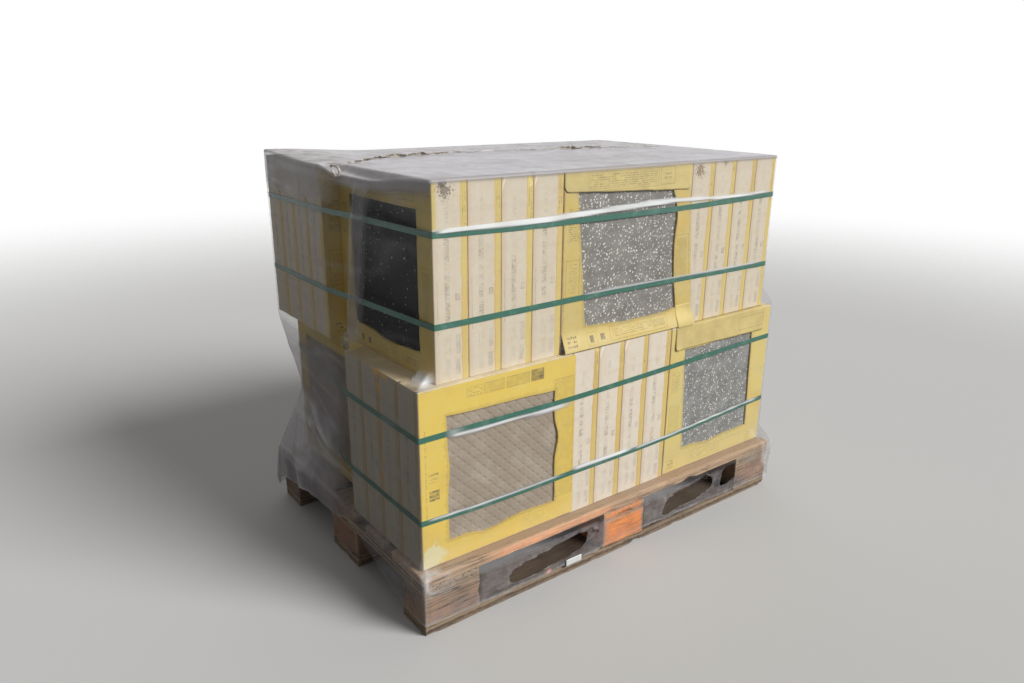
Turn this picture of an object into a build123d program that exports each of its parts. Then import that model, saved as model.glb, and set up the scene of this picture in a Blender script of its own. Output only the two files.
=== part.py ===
from build123d import *
import os

# Pallet load of floor tiles: cardboard packs in two layers on a wooden pallet, held by four
# plastic straps and a hood of clear film. Millimetres, +Z up, origin on the floor under the
# middle of the pallet, +X along the pallet's long side. The front long side is at -Y.

# Pallet
pallet_length = 1200.0
pallet_width = 800.0
board_thick = 22.0
wide_board = 145.0
narrow_board = 100.0
block_height = 78.0
bottom_bevel = 10.0
block_bevel = 8.0

# Tiles and their cardboard wraps
tile_side = 400.0
tile_thick = 38.0
tiles_per_pack = 2
joint_width = 1.0
joint_depth = 1.5
card_thick = 3.5
side_slack = 5.5
top_slack = 11.0
tile_seat = 0.0
face_slack = 0.3
wrap_corner = 2.0
window_width = 300.0
window_height = 300.0
window_sill = 56.0
window_corner = 8.0

# Stacking
packs_per_block = 4
pack_gap = 0.4
block_gap = 0.4
layer_seat = 0.2
lower_front = -368.0
upper_front = -352.0
lower_front_middle = 2.0
lower_back_middle = 14.0
upper_front_middle = 15.0
upper_back_middle = 12.0

# Straps: height of each at the middle of the load, and its slope along X in degrees
strap_width = 13.0
strap_thick = 0.9
strap_gap = 0.3
strap_weld = 60.0
strap_corner = 1.5
strap_heights = {"strap_top": 879.0, "strap_upper": 687.0, "strap_lower": 460.0, "strap_bottom": 264.0}
strap_slopes = {"strap_top": 0.1, "strap_upper": -0.15, "strap_lower": 0.5, "strap_bottom": 0.2}

# Film hood
film_thick = 0.6
film_gap = 0.4
film_hem = 30.0
film_shoulder = 30.0
film_skirt_gap = 4.5
seam_length = 1060.0
seam_height = 12.0
seam_y = 40.0
opening_margin = 4.0

# Sizes that follow from the ones above
stack_thick = tiles_per_pack * tile_thick
wrap_width = tile_side + 2 * side_slack + 2 * card_thick
wrap_height = tile_side + top_slack + tile_seat + 2 * card_thick
wrap_thick = stack_thick + 2 * face_slack + 2 * card_thick
pack_pitch = wrap_thick + pack_gap
block_thick = packs_per_block * pack_pitch - pack_gap
stringer_bottom = board_thick + block_height
deck_bottom = stringer_bottom + board_thick
deck_top = deck_bottom + board_thick
lower_floor = deck_top + layer_seat
upper_floor = lower_floor + wrap_height + layer_seat
load_top = upper_floor + wrap_height

# Places of the pallet's boards: the middle of each across the pallet, and its width
side_y = (pallet_width - narrow_board) / 2
end_x = (pallet_length - wide_board) / 2
edge_y = (pallet_width - wide_board) / 2
near_y = edge_y / 2
block_rows = {"front": (-side_y, narrow_board), "middle": (0.0, wide_board), "back": (side_y, narrow_board)}
block_columns = {"left": -end_x, "middle": 0.0, "right": end_x}
deck_boards = {
    "top_board_front": (-edge_y, wide_board),
    "top_board_front_inner": (-near_y, narrow_board),
    "top_board_middle": (0.0, wide_board),
    "top_board_back_inner": (near_y, narrow_board),
    "top_board_back": (edge_y, wide_board),
}

# Each row of blocks: E has its packs edge-on to the long side, F has their faces to it
rows = {
    "lower_front": ("FEF", lower_floor, lower_front_middle, lower_front, 1),
    "lower_back": ("EFE", lower_floor, lower_back_middle, lower_front, -1),
    "upper_front": ("EFE", upper_floor, upper_front_middle, upper_front, 1),
    "upper_back": ("FEF", upper_floor, upper_back_middle, upper_front, -1),
}
load_depth = wrap_width + block_gap + block_thick

# The way out from the load at each of an outline's six corners, from the front left round to the left
outward = [(-1, -1), (1, -1), (1, 0), (1, 1), (-1, 1), (-1, 0)]


def box_between(low, high):
    """A box from its low corner to its high corner."""
    size = [b - a for a, b in zip(low, high)]
    centre = [(a + b) / 2 for a, b in zip(low, high)]
    return Pos(*centre) * Box(*size)


def deck_board(middle, width):
    """One board of the deck, along X."""
    half = pallet_length / 2
    return box_between((-half, middle - width / 2, deck_bottom), (half, middle + width / 2, deck_top))


def stringer(middle):
    """One board across the pallet, under the deck."""
    half = pallet_width / 2
    return box_between(
        (middle - wide_board / 2, -half, stringer_bottom), (middle + wide_board / 2, half, deck_bottom)
    )


def pallet_block(x, y, depth):
    """One spacer block; the four at the pallet's corners have their outer upright edge cut off."""
    block = box_between(
        (x - wide_board / 2, y - depth / 2, board_thick), (x + wide_board / 2, y + depth / 2, stringer_bottom)
    )
    if x == 0.0 or y == 0.0:
        return block
    corner = block.edges().filter_by(Axis.Z).sort_by(lambda edge: abs(edge.center().X) + abs(edge.center().Y))[-1]
    return chamfer(corner, block_bevel)


def bottom_board(middle, width):
    """One runner on the floor, along X, with its long upper edges bevelled for a truck's wheels."""
    half = pallet_length / 2
    board = box_between((-half, middle - width / 2, 0), (half, middle + width / 2, board_thick))
    upper = board.edges().filter_by(Axis.X).group_by(Axis.Z)[-1]
    inner = [edge for edge in upper if abs(edge.center().Y) < pallet_width / 2 - bottom_bevel]
    return chamfer(inner, bottom_bevel)


def tile_stack():
    """The tiles of one pack, with the joints between them cut round the edges; faces to +Y and -Y."""
    stack = Box(tile_side, stack_thick, tile_side)
    inside = tile_side - 2 * joint_depth
    ring = Box(tile_side + joint_width, joint_width, tile_side + joint_width) - Box(inside, joint_width, inside)
    for joint in range(1, tiles_per_pack):
        stack -= Pos(0, joint * tile_thick - stack_thick / 2, 0) * ring
    return Pos(0, 0, card_thick + tile_seat + tile_side / 2) * stack


def card_wrap():
    """The cardboard wrap of one pack: closed on its four edges, with a window in each face."""
    outer = Box(wrap_width, wrap_thick, wrap_height)
    outer = fillet(outer.edges(), wrap_corner)
    wrap = Pos(0, 0, wrap_height / 2) * outer
    hollow_width = wrap_width - 2 * card_thick
    hollow_height = wrap_height - 2 * card_thick
    wrap -= Pos(0, 0, wrap_height / 2) * Box(hollow_width, wrap_thick - 2 * card_thick, hollow_height)
    window = Box(window_width, wrap_thick + 2 * wrap_corner, window_height)
    window = fillet(window.edges().filter_by(Axis.Y), window_corner)
    return wrap - Pos(0, 0, window_sill + window_height / 2) * window


def block_places(row):
    """The place and turn of each pack in a row of three blocks, by block name."""
    pattern, floor, middle, front, side = rows[row]
    widths = [wrap_width if kind == "F" else block_thick for kind in pattern]
    left = middle - (sum(widths) + 2 * block_gap) / 2
    outer_y = front if side > 0 else front + load_depth
    places = {}
    for name, kind, width in zip(("left", "middle", "right"), pattern, widths):
        packs = []
        for step in range(packs_per_block):
            across = step * pack_pitch + wrap_thick / 2
            if kind == "F":
                packs.append(Pos(left + width / 2, outer_y + side * across, floor))
            else:
                packs.append(Pos(left + across, outer_y + side * wrap_width / 2, floor) * Rot(0, 0, 90))
        places[f"{row}_{name}"] = packs
        left += width + block_gap
    return places


def row_edges(row):
    """The lowest and highest x of a row, and the y of its inner side where its end blocks stop."""
    pattern, _, middle, front, side = rows[row]
    widths = [wrap_width if kind == "F" else block_thick for kind in pattern]
    half = (sum(widths) + 2 * block_gap) / 2
    end_depth = block_thick if pattern[0] == "F" else wrap_width
    outer_y = front if side > 0 else front + load_depth
    return middle - half, middle + half, outer_y, outer_y + side * end_depth


def layer_outline(layer):
    """The six corners of the tight line round a layer, counter-clockwise from the front left."""
    front_low, front_high, front_y, front_inner = row_edges(f"{layer}_front")
    back_low, back_high, back_y, back_inner = row_edges(f"{layer}_back")
    left_y = front_inner if front_low < back_low else back_inner
    right_y = front_inner if front_high > back_high else back_inner
    return [
        (front_low, front_y),
        (front_high, front_y),
        (max(front_high, back_high), right_y),
        (back_high, back_y),
        (back_low, back_y),
        (min(front_low, back_low), left_y),
    ]


def cover(first, second):
    """The outermost of two outlines, corner by corner; the middle corners keep the first one's y."""
    corners = []
    for (first_x, first_y), (second_x, second_y), (sx, sy) in zip(first, second, outward):
        x = sx * max(sx * first_x, sx * second_x)
        y = sy * max(sy * first_y, sy * second_y) if sy else first_y
        corners.append((x, y))
    return corners


def section(outline, height, grow):
    """A level face inside a six-cornered outline, moved outwards by grow."""
    corners = [(x + sx * grow, y + sy * grow) for (x, y), (sx, sy) in zip(outline, outward)]
    return Pos(0, 0, height) * make_face(Polyline(*corners, close=True))


def band(outline, grow, width):
    """A solid slab of an outline, as high as a strap is wide, with its upright edges rounded."""
    slab = extrude(section(outline, -width / 2, grow), width)
    return fillet(slab.edges().filter_by(Axis.Z), strap_corner + grow)


def strap(name):
    """One strap round a layer, with its ends lapped and welded at the back."""
    outline = layer_outline("upper" if strap_heights[name] > upper_floor else "lower")
    back_y = outline[3][1]
    loop = band(outline, strap_gap + strap_thick, strap_width) - band(outline, strap_gap, 2 * strap_width)
    inner_y = back_y + strap_gap + strap_thick
    lap = box_between(
        (-strap_weld / 2, inner_y, -strap_width / 2), (strap_weld / 2, inner_y + strap_thick, strap_width / 2)
    )
    return Pos(0, 0, strap_heights[name]) * Rot(0, -strap_slopes[name], 0) * (loop + lap)


def hood_body(grow, top, hem):
    """The space under the film: the load's own outline, spreading to the pallet's edge below."""
    half_x = pallet_length / 2
    half_y = pallet_width / 2
    pallet = [(-half_x, -half_y), (half_x, -half_y), (half_x, 0), (half_x, half_y), (-half_x, half_y), (-half_x, 0)]
    upper = layer_outline("upper")
    waist = cover(layer_outline("lower"), upper)
    base = waist[:3] + cover(waist, pallet)[3:5] + waist[5:]
    clear = strap_gap + 2 * strap_thick + film_gap
    sections = [
        section(pallet, hem, grow + film_skirt_gap),
        section(pallet, deck_top + film_gap, grow + film_skirt_gap),
        section(base, deck_top + film_shoulder, grow + clear),
        section(waist, upper_floor + film_gap, grow + clear),
        section(upper, upper_floor + film_shoulder, grow + clear),
        section(upper, top, grow + clear),
    ]
    return loft(sections, ruled=True)


def film_hood():
    """The film hood: a closed roof with its welded seam, walls, and a skirt cut at the fork openings."""
    roof = load_top + film_gap
    hood = hood_body(film_thick, roof + film_thick, film_hem) - hood_body(0, roof, film_hem - film_thick)
    seam_low = (-seam_length / 2, seam_y - film_thick, roof + film_thick / 2)
    seam_high = (seam_length / 2, seam_y + film_thick, roof + film_thick + seam_height)
    hood += box_between(seam_low, seam_high)
    past_x = pallet_length
    past_y = pallet_width
    inner_x = wide_board / 2 - opening_margin
    outer_x = end_x - wide_board / 2 + opening_margin
    inner_y = wide_board / 2 - opening_margin
    outer_y = side_y - narrow_board / 2 + opening_margin
    for sign in (-1, 1):
        xs = sorted((sign * inner_x, sign * outer_x))
        hood -= box_between((xs[0], -past_y, 0), (xs[1], past_y, deck_bottom))
        ys = sorted((sign * inner_y, sign * outer_y))
        hood -= box_between((-past_x, ys[0], 0), (past_x, ys[1], stringer_bottom))
    return hood


def save(name, solids):
    """Writes the solids of one node to its file."""
    shape = solids[0] if len(solids) == 1 else Compound(solids)
    export_step(shape, os.path.join("parts", name + ".step"))


os.makedirs("parts", exist_ok=True)

for board_name, (board_y, board_width) in deck_boards.items():
    save(board_name, [deck_board(board_y, board_width)])
for column, column_x in block_columns.items():
    save(f"stringer_{column}", [stringer(column_x)])
for row_name, (row_y, row_width) in block_rows.items():
    save(f"bottom_board_{row_name}", [bottom_board(row_y, row_width)])
    for column, column_x in block_columns.items():
        save(f"block_{row_name}_{column}", [pallet_block(column_x, row_y, row_width)])

one_wrap = card_wrap()
one_stack = tile_stack()
for row_name in rows:
    for block_name, places in block_places(row_name).items():
        save(f"wraps_{block_name}", [place * one_wrap for place in places])
        save(f"tiles_{block_name}", [place * one_stack for place in places])

for strap_name in strap_heights:
    save(strap_name, [strap(strap_name)])

save("film_hood", [film_hood()])

print("top of the load", round(load_top, 1), "mm")
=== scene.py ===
"""Dresses a strapped pallet load of floor tiles: worn timber, printed card wraps, stone, straps and film."""

import itertools
import logging
import math
from abc import ABC, abstractmethod
from dataclasses import dataclass
from enum import Enum
from typing import ClassVar

import bmesh
import bpy
import numpy as np
from mathutils import Matrix, Vector


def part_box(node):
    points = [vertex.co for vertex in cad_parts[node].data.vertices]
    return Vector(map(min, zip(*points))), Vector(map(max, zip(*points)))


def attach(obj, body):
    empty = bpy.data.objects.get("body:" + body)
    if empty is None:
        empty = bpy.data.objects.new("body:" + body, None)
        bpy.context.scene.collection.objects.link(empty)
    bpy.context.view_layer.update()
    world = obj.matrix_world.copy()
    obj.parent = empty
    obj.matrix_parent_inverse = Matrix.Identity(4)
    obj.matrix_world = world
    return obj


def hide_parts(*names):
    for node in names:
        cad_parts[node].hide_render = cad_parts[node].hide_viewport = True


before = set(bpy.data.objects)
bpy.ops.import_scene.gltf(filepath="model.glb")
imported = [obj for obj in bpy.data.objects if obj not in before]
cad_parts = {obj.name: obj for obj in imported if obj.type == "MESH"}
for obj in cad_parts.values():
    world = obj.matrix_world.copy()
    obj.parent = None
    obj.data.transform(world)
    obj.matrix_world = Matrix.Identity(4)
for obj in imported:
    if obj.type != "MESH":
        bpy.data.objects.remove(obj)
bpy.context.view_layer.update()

LOG = logging.getLogger("pallet_load")
ROOT = "root"
UP = np.array((0.0, 0.0, 1.0))
SHEET_MAP = "Sheet"

Array = np.ndarray
Pair = tuple[float, float]
Triple = tuple[float, float, float]
Socket = bpy.types.NodeSocket
Piece = bpy.types.Object


class Layer(Enum):
    """The two layers of the load."""

    LOWER = "lower"
    UPPER = "upper"


class Row(Enum):
    """The two rows of a layer."""

    FRONT = "front"
    BACK = "back"


class Column(Enum):
    """The three blocks of a row."""

    LEFT = "left"
    MIDDLE = "middle"
    RIGHT = "right"


class Facing(Enum):
    """Where the windows of a block look: the way to their right, and the way into the block."""

    FRONT = ((1, 0, 0), (0, 1, 0))
    BACK = ((-1, 0, 0), (0, -1, 0))
    LEFT = ((0, -1, 0), (1, 0, 0))
    RIGHT = ((0, 1, 0), (-1, 0, 0))


class Mark(Enum):
    """Kinds of plain printing on card."""

    FRAME = "outline of a box"
    ROWS = "rows of dashes"
    SOLID = "filled box"
    BRICKS = "coarse blocks"


def blend_in(value: Array, low: float, high: float) -> Array:
    """Smooth step from 0 at low to 1 at high; it also works with low above high."""
    share = np.clip((value - low) / (high - low), 0.0, 1.0)
    return share * share * (3 - 2 * share)


def hump(value: Array, middle: float | Array, width: float | Array) -> Array:
    """A rounded hump of height 1 about a middle; at one width away it is down to a third."""
    return np.exp(-(((value - middle) / width) ** 2))


def along_line(value: Array, line: tuple[Pair, ...]) -> Array:
    """What a line of places and amounts says at some values."""
    return np.interp(value, *zip(*line))


def smoothed(value: Array, line: tuple[Pair, ...], wide: float, steps: int) -> Array:
    """The same, with the line's bends rounded over a width to each side."""
    return np.mean([along_line(value + shift, line) for shift in np.linspace(-wide, wide, steps)], axis=0)


@dataclass(frozen=True)
class SmoothNoise:
    """Seeded smooth noise through space, between -1 and 1, the same on every run."""

    seed: int

    def _corner(self, cells: Array) -> Array:
        """Random values from -1 to 1 at whole-number places, with x, y and z in the last axis."""
        whole = cells.astype(np.int64)
        mixed = (whole[..., 0] * 73856093) ^ (whole[..., 1] * 19349663) ^ (whole[..., 2] * 83492791)
        mixed = (mixed ^ (self.seed * 40503)) & 0x7FFFFFFF
        mixed = ((mixed ^ (mixed >> 13)) * 1274126177) & 0x7FFFFFFF
        mixed = (mixed ^ (mixed >> 15)) & 0xFFFFFF
        return mixed / 0x7FFFFF - 1.0

    def at(self, points: Array, scale: float | Triple) -> Array:
        """Noise at some points.

        Args:
            points: Places with x, y and z in the last axis.
            scale: Size of the noise's features, one for all ways or one for each.

        Returns:
            One value from -1 to 1 for each point.
        """
        place = points / np.asarray(scale)
        low = np.floor(place)
        part = place - low
        part = part * part * (3 - 2 * part)
        total = np.zeros(place.shape[:-1])
        for corner in itertools.product((0, 1), repeat=3):
            weight = np.prod(np.where(np.array(corner) == 1, part, 1 - part), axis=-1)
            total += weight * self._corner(low + np.array(corner))
        return total

    def rough(self, points: Array, scale: float | Triple) -> Array:
        """Noise with two finer layers on it, still between about -1 and 1."""
        size = np.asarray(scale)
        first, second, third = (self.at(points, size / finer) for finer in (1, 2.1, 4.3))
        return (first + 0.5 * second + 0.25 * third) / 1.5

    def ridges(self, points: Array, scale: float | Triple, sharp: float) -> Array:
        """Thin crests where the noise crosses zero, from 0 to 1; sharp makes them thinner."""
        return (1 - np.abs(self.at(points, scale))) ** sharp


class MeshDraft:
    """Collects grids of quads, with where they lie on the flat sheet, and makes one mesh of them."""

    def __init__(self, name: str) -> None:
        """Starts an empty draft of that name."""
        self.name = name
        self.points: list[Array] = []
        self.faces: list[Array] = []
        self.places: list[Array] = []
        self.slots: list[Array] = []
        self.face_marks: dict[str, list[Array]] = {}
        self.point_marks: dict[str, list[Array]] = {}
        self.count = 0

    def add_grid(
        self,
        points: Array,
        place: Array | None = None,
        slot: int = 0,
        closed: bool = False,
        keep: Array | None = None,
        face_marks: dict[str, float] | None = None,
        point_marks: dict[str, Array] | None = None,
    ) -> None:
        """Adds a grid of points as quads.

        Args:
            points: Rows by columns by 3. A quad's front looks along (next row) x (next column).
            place: Rows by columns by 2, the point's place on the flat sheet in metres.
            slot: The material slot of the quads.
            closed: True if the last column joins the first.
            keep: For each point, False where a quad that has it as a corner is left out.
            face_marks: One number for each name, the same on every quad.
            point_marks: For each name, a number or a vector for each point.
        """
        rows, columns = points.shape[:2]
        total = rows * columns
        index = np.arange(total).reshape(rows, columns)
        if closed:
            index = np.concatenate([index, index[:, :1]], axis=1)
        corners = [index[:-1, :-1], index[1:, :-1], index[1:, 1:], index[:-1, 1:]]
        quads = np.stack(corners, axis=-1).reshape(-1, 4)
        if keep is not None:
            quads = quads[keep.reshape(-1)[quads].all(axis=1)]
        self.points.append(points.reshape(-1, 3))
        self.places.append(np.zeros((total, 2)) if place is None else place.reshape(-1, 2))
        self.faces.append(quads + self.count)
        self.slots.append(np.full(len(quads), slot))
        for name, value in (face_marks or {}).items():
            self.face_marks.setdefault(name, []).append(np.full(len(quads), value))
        for name, values in (point_marks or {}).items():
            self.point_marks.setdefault(name, []).append(values.reshape(total, -1))
        self.count += total

    def make(self, *finishes: "Finish", join: float = 0.0, sharp: float = 35.0) -> Piece:
        """Makes the object.

        Args:
            *finishes: One for each slot.
            join: Distance within which points become one, or 0.
            sharp: Angle in degrees past which an edge is shaded sharp.

        Returns:
            The new object, linked to the scene.
        """
        mesh = bpy.data.meshes.new(self.name)
        faces = np.concatenate(self.faces)
        mesh.from_pydata(np.concatenate(self.points).tolist(), [], faces.tolist())
        sheet = mesh.uv_layers.new(name=SHEET_MAP)
        sheet.data.foreach_set("uv", np.concatenate(self.places)[faces.reshape(-1)].reshape(-1))
        mesh.polygons.foreach_set("material_index", np.concatenate(self.slots).astype(np.int32))
        for domain, marks in (("FACE", self.face_marks), ("POINT", self.point_marks)):
            for name, parts in marks.items():
                values = np.concatenate(parts).astype(np.float32)
                vector = values.ndim == 2 and values.shape[1] == 3
                mark = mesh.attributes.new(name, "FLOAT_VECTOR" if vector else "FLOAT", domain)
                mark.data.foreach_set("vector" if vector else "value", values.reshape(-1))
        for finish in finishes:
            mesh.materials.append(finish.material())
        self._tidy(mesh, join)
        mesh.polygons.foreach_set("use_smooth", np.ones(len(mesh.polygons), bool))
        mesh.set_sharp_from_angle(angle=math.radians(sharp))
        return linked(self.name, mesh)

    @staticmethod
    def _tidy(mesh: bpy.types.Mesh, join: float) -> None:
        """Joins points that coincide, and drops points that no face uses.

        Args:
            mesh: The mesh, which is changed.
            join: Distance within which points become one, or 0.
        """
        work = bmesh.new()
        work.from_mesh(mesh)
        if join:
            bmesh.ops.remove_doubles(work, verts=work.verts, dist=join)
        loose = [vert for vert in work.verts if not vert.link_faces]
        bmesh.ops.delete(work, geom=loose, context="VERTS")
        work.to_mesh(mesh)
        work.free()


def linked(name: str, data: bpy.types.ID) -> Piece:
    """A new object of that name and data, linked to the scene."""
    made = bpy.data.objects.new(name, data)
    bpy.context.scene.collection.objects.link(made)
    return made


def thickened(piece: Piece, thick: float, offset: float) -> Piece:
    """Gives a sheet of paper its thickness."""
    paper = piece.modifiers.new("paper", "SOLIDIFY")
    paper.thickness = thick
    paper.offset = offset
    return piece


class NodeSheet:
    """Lays and joins the nodes of one material or of one shared effect."""

    def __init__(self, tree: bpy.types.NodeTree) -> None:
        """Works in that node tree."""
        self.tree = tree

    @property
    def surface(self) -> bpy.types.Node:
        """The material's shader."""
        return self.tree.nodes["Principled BSDF"]

    def put(self, socket: Socket, value: object) -> None:
        """Gives a socket a value, or joins it to another node's output."""
        if isinstance(value, Socket):
            self.tree.links.new(value, socket)
        elif value is not None:
            socket.default_value = value

    def feed(self, colour: Socket, roughness: Socket, normal: Socket) -> None:
        """Gives the material's shader its colour, roughness and normal."""
        for name, value in (("Base Color", colour), ("Roughness", roughness), ("Normal", normal)):
            self.put(self.surface.inputs[name], value)

    def add(
        self, kind: str, inputs: dict[str | int, object] | None = None, **settings: object
    ) -> bpy.types.Node:
        """Adds a node.

        Args:
            kind: Its type.
            inputs: Values or outputs by the input's name or number.
            **settings: The node's own settings.

        Returns:
            The node.
        """
        node = self.tree.nodes.new(kind)
        for name, value in settings.items():
            setattr(node, name, value)
        for name, value in (inputs or {}).items():
            self.put(node.inputs[name], value)
        return node

    def math(self, operation: str, *values: object, clamp: bool = False) -> Socket:
        """One step of arithmetic on values or outputs."""
        node = self.add("ShaderNodeMath", dict(enumerate(values)), operation=operation, use_clamp=clamp)
        return node.outputs[0]

    def times(self, first: object, second: object) -> Socket:
        """The product of two values."""
        return self.math("MULTIPLY", first, second)

    def minus(self, first: object, second: object) -> Socket:
        """The first value less the second."""
        return self.math("SUBTRACT", first, second)

    def most(self, first: object, second: object) -> Socket:
        """The larger of two values."""
        return self.math("MAXIMUM", first, second)

    def size_of(self, value: object) -> Socket:
        """A value without its sign."""
        return self.math("ABSOLUTE", value)

    def vector(self, operation: str, *values: object) -> Socket:
        """One step of vector arithmetic; LENGTH and DISTANCE give a number."""
        node = self.add("ShaderNodeVectorMath", dict(enumerate(values)), operation=operation)
        return node.outputs["Value" if operation in ("LENGTH", "DISTANCE") else "Vector"]

    def mix(self, share: object, first: object, second: object) -> Socket:
        """A colour between two."""
        colours = [(*c, 1.0) if isinstance(c, tuple) else c for c in (first, second)]
        node = self.add("ShaderNodeMix", data_type="RGBA")
        for place, value in zip((0, 6, 7), (share, *colours)):
            self.put(node.inputs[place], value)
        return node.outputs[2]

    def tint(self, colour: Socket, other: Triple, mask: Socket, share: float) -> Socket:
        """A colour with another laid on it: a mask says where, and a share how strongly."""
        return self.mix(self.times(mask, share), colour, other)

    def ramp(self, value: Socket, low: object, high: object, start: float = 0.0, end: float = 1.0) -> Socket:
        """A smooth change from start to end as a value goes from low to high."""
        inputs = {"Value": value, "From Min": low, "From Max": high, "To Min": start, "To Max": end}
        return self.add("ShaderNodeMapRange", inputs, interpolation_type="SMOOTHSTEP").outputs[0]

    def noise(self, place: Socket, scale: object, detail: float = 3.0, roughness: float = 0.55) -> Socket:
        """Noise from 0 to 1 over a place; scale is features per metre, for all ways or for each."""
        if isinstance(scale, tuple):
            place, scale = self.vector("MULTIPLY", place, scale), 1.0
        inputs = {"Vector": place, "Scale": scale, "Detail": detail, "Roughness": roughness}
        return self.add("ShaderNodeTexNoise", inputs).outputs[0]

    def patches(self, place: Socket, scale: float, low: float, high: float, seed: float = 0.0) -> Socket:
        """The mask of the shared soft patches."""
        return Blotches().use(self, place=place, scale=scale, low=low, high=high, seed=seed)["Mask"]

    def attribute(self, name: str, output: str = "Fac") -> Socket:
        """What a mesh says under that name."""
        return self.add("ShaderNodeAttribute", attribute_name=name).outputs[output]

    def object_place(self) -> Socket:
        """The place in the row frame, in metres."""
        return self.add("ShaderNodeTexCoord").outputs["Object"]

    def sheet_place(self) -> Socket:
        """The place on the flat sheet, in metres."""
        return self.add("ShaderNodeUVMap", uv_map=SHEET_MAP).outputs["UV"]

    def parts(self, vector: Socket) -> tuple[Socket, Socket, Socket]:
        """The x, y and z of a vector."""
        return tuple(self.add("ShaderNodeSeparateXYZ", {0: vector}).outputs)

    def join(self, x: object, y: object, z: object = 0.0) -> Socket:
        """A vector of three values."""
        return self.add("ShaderNodeCombineXYZ", {0: x, 1: y, 2: z}).outputs[0]

    def bump(self, height: Socket, distance: float, strength: float) -> Socket:
        """A normal from a height; distance is the height's size in metres."""
        inputs = {"Height": height, "Distance": distance, "Strength": strength}
        return self.add("ShaderNodeBump", inputs).outputs[0]


class Effect(ABC):
    """A shader effect that several finishes share: a node group with named inputs and outputs, built once."""

    takes: ClassVar[dict[str, object]]
    gives: ClassVar[tuple[str, ...]] = ("Mask",)

    @abstractmethod
    def lay(self, sheet: NodeSheet, given: dict[str, Socket]) -> tuple[Socket, ...]:
        """Lays the group's nodes.

        Args:
            sheet: The group's nodes.
            given: The group's inputs by name.

        Returns:
            What goes out, in order.
        """

    def tree(self) -> bpy.types.NodeTree:
        """The group's node tree, named for its class and made at the first call."""
        title = type(self).__name__
        made = bpy.data.node_groups.get(title)
        if made:
            return made
        tree = bpy.data.node_groups.new(title, "ShaderNodeTree")
        for name, value in self.takes.items():
            kind = "NodeSocketVector" if value is None else "NodeSocketFloat"
            socket = tree.interface.new_socket(name=name, in_out="INPUT", socket_type=kind)
            if value is not None:
                socket.default_value = value
        for name in self.gives:
            tree.interface.new_socket(name=name, in_out="OUTPUT", socket_type="NodeSocketFloat")
        sheet = NodeSheet(tree)
        given = sheet.add("NodeGroupInput").outputs
        out = sheet.add("NodeGroupOutput")
        for place, value in enumerate(self.lay(sheet, {name: given[name] for name in self.takes})):
            sheet.put(out.inputs[place], value)
        return tree

    def use(self, sheet: NodeSheet, **values: object) -> dict[str, Socket]:
        """Places the group in a material.

        Args:
            sheet: The material's nodes.
            **values: Inputs by name, with _ for a space and in small letters.

        Returns:
            The group's outputs by name.
        """
        node = sheet.add("ShaderNodeGroup", node_tree=self.tree())
        for name, value in values.items():
            sheet.put(node.inputs[name.replace("_", " ").title()], value)
        return {name: node.outputs[name] for name in self.gives}


class Blotches(Effect):
    """Soft patches of dirt, fading or wear."""

    takes = {"Place": None, "Scale": 8.0, "Low": 0.45, "High": 0.65, "Seed": 0.0}

    def lay(self, sheet: NodeSheet, given: dict[str, Socket]) -> tuple[Socket, ...]:
        """Noise, moved by the seed and cut between low and high."""
        moved = sheet.vector("ADD", given["Place"], sheet.join(*[given["Seed"]] * 3))
        value = sheet.noise(moved, given["Scale"], 5.0, 0.6)
        return (sheet.ramp(value, given["Low"], given["High"]),)


class WoodFigure(Effect):
    """Growth rings and fibres of sawn timber; x of the place runs along the grain."""

    takes = {"Place": None, "Ring Width": 0.006}
    gives = ("Rings", "Fibres")

    def lay(self, sheet: NodeSheet, given: dict[str, Socket]) -> tuple[Socket, ...]:
        """Rings about a pith beside the board, bent by noise, and noise drawn out along the grain."""
        wander = sheet.noise(given["Place"], (2.2, 14.0, 14.0))
        across = sheet.vector("MULTIPLY", given["Place"], (0.0, 1.0, 1.0))
        radius = sheet.vector("LENGTH", sheet.vector("ADD", across, (0.0, 0.035, -0.11)))
        bent = sheet.math("MULTIPLY_ADD", wander, 0.035, radius)
        turns = sheet.math("DIVIDE", bent, given["Ring Width"])
        rings = sheet.math("POWER", sheet.math("FRACT", turns), 1.6)
        return rings, sheet.noise(given["Place"], (9.0, 420.0, 420.0), 4.0, 0.65)


class EdgeWear(Effect):
    """Wear that gathers at the edges a mesh marks, broken up by noise."""

    takes = {"Place": None, "Edge": 0.0, "Amount": 0.5}

    def lay(self, sheet: NodeSheet, given: dict[str, Socket]) -> tuple[Socket, ...]:
        """The edge mark times noise, cut by the amount."""
        value = sheet.noise(given["Place"], 60.0, 5.0, 0.7)
        worn = sheet.math("MULTIPLY_ADD", given["Edge"], given["Amount"], sheet.minus(value, 0.5))
        return (sheet.ramp(worn, 0.18, 0.42),)


class Chips(Effect):
    """Stone chips scattered through terrazzo, each of its own size and tone."""

    takes = {"Place": None, "Size": 0.008, "Share": 0.4}
    gives = ("Mask", "Tone")

    def lay(self, sheet: NodeSheet, given: dict[str, Socket]) -> tuple[Socket, ...]:
        """Cells about scattered points, with their middles cut out by a radius of their own."""
        wobble = sheet.noise(given["Place"], 420.0, 2.0)
        spread = sheet.times(sheet.minus(wobble, 0.5), 0.004)
        bent = sheet.vector("ADD", given["Place"], sheet.join(spread, spread, spread))
        inputs = {"Vector": bent, "Scale": sheet.math("DIVIDE", 1.0, given["Size"])}
        cells = sheet.add("ShaderNodeTexVoronoi", inputs).outputs
        tone, chance, _ = sheet.parts(cells["Color"])
        radius = sheet.times(given["Share"], sheet.math("POWER", chance, 0.9))
        return sheet.ramp(sheet.minus(radius, cells["Distance"]), -0.02, 0.05), tone


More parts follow.
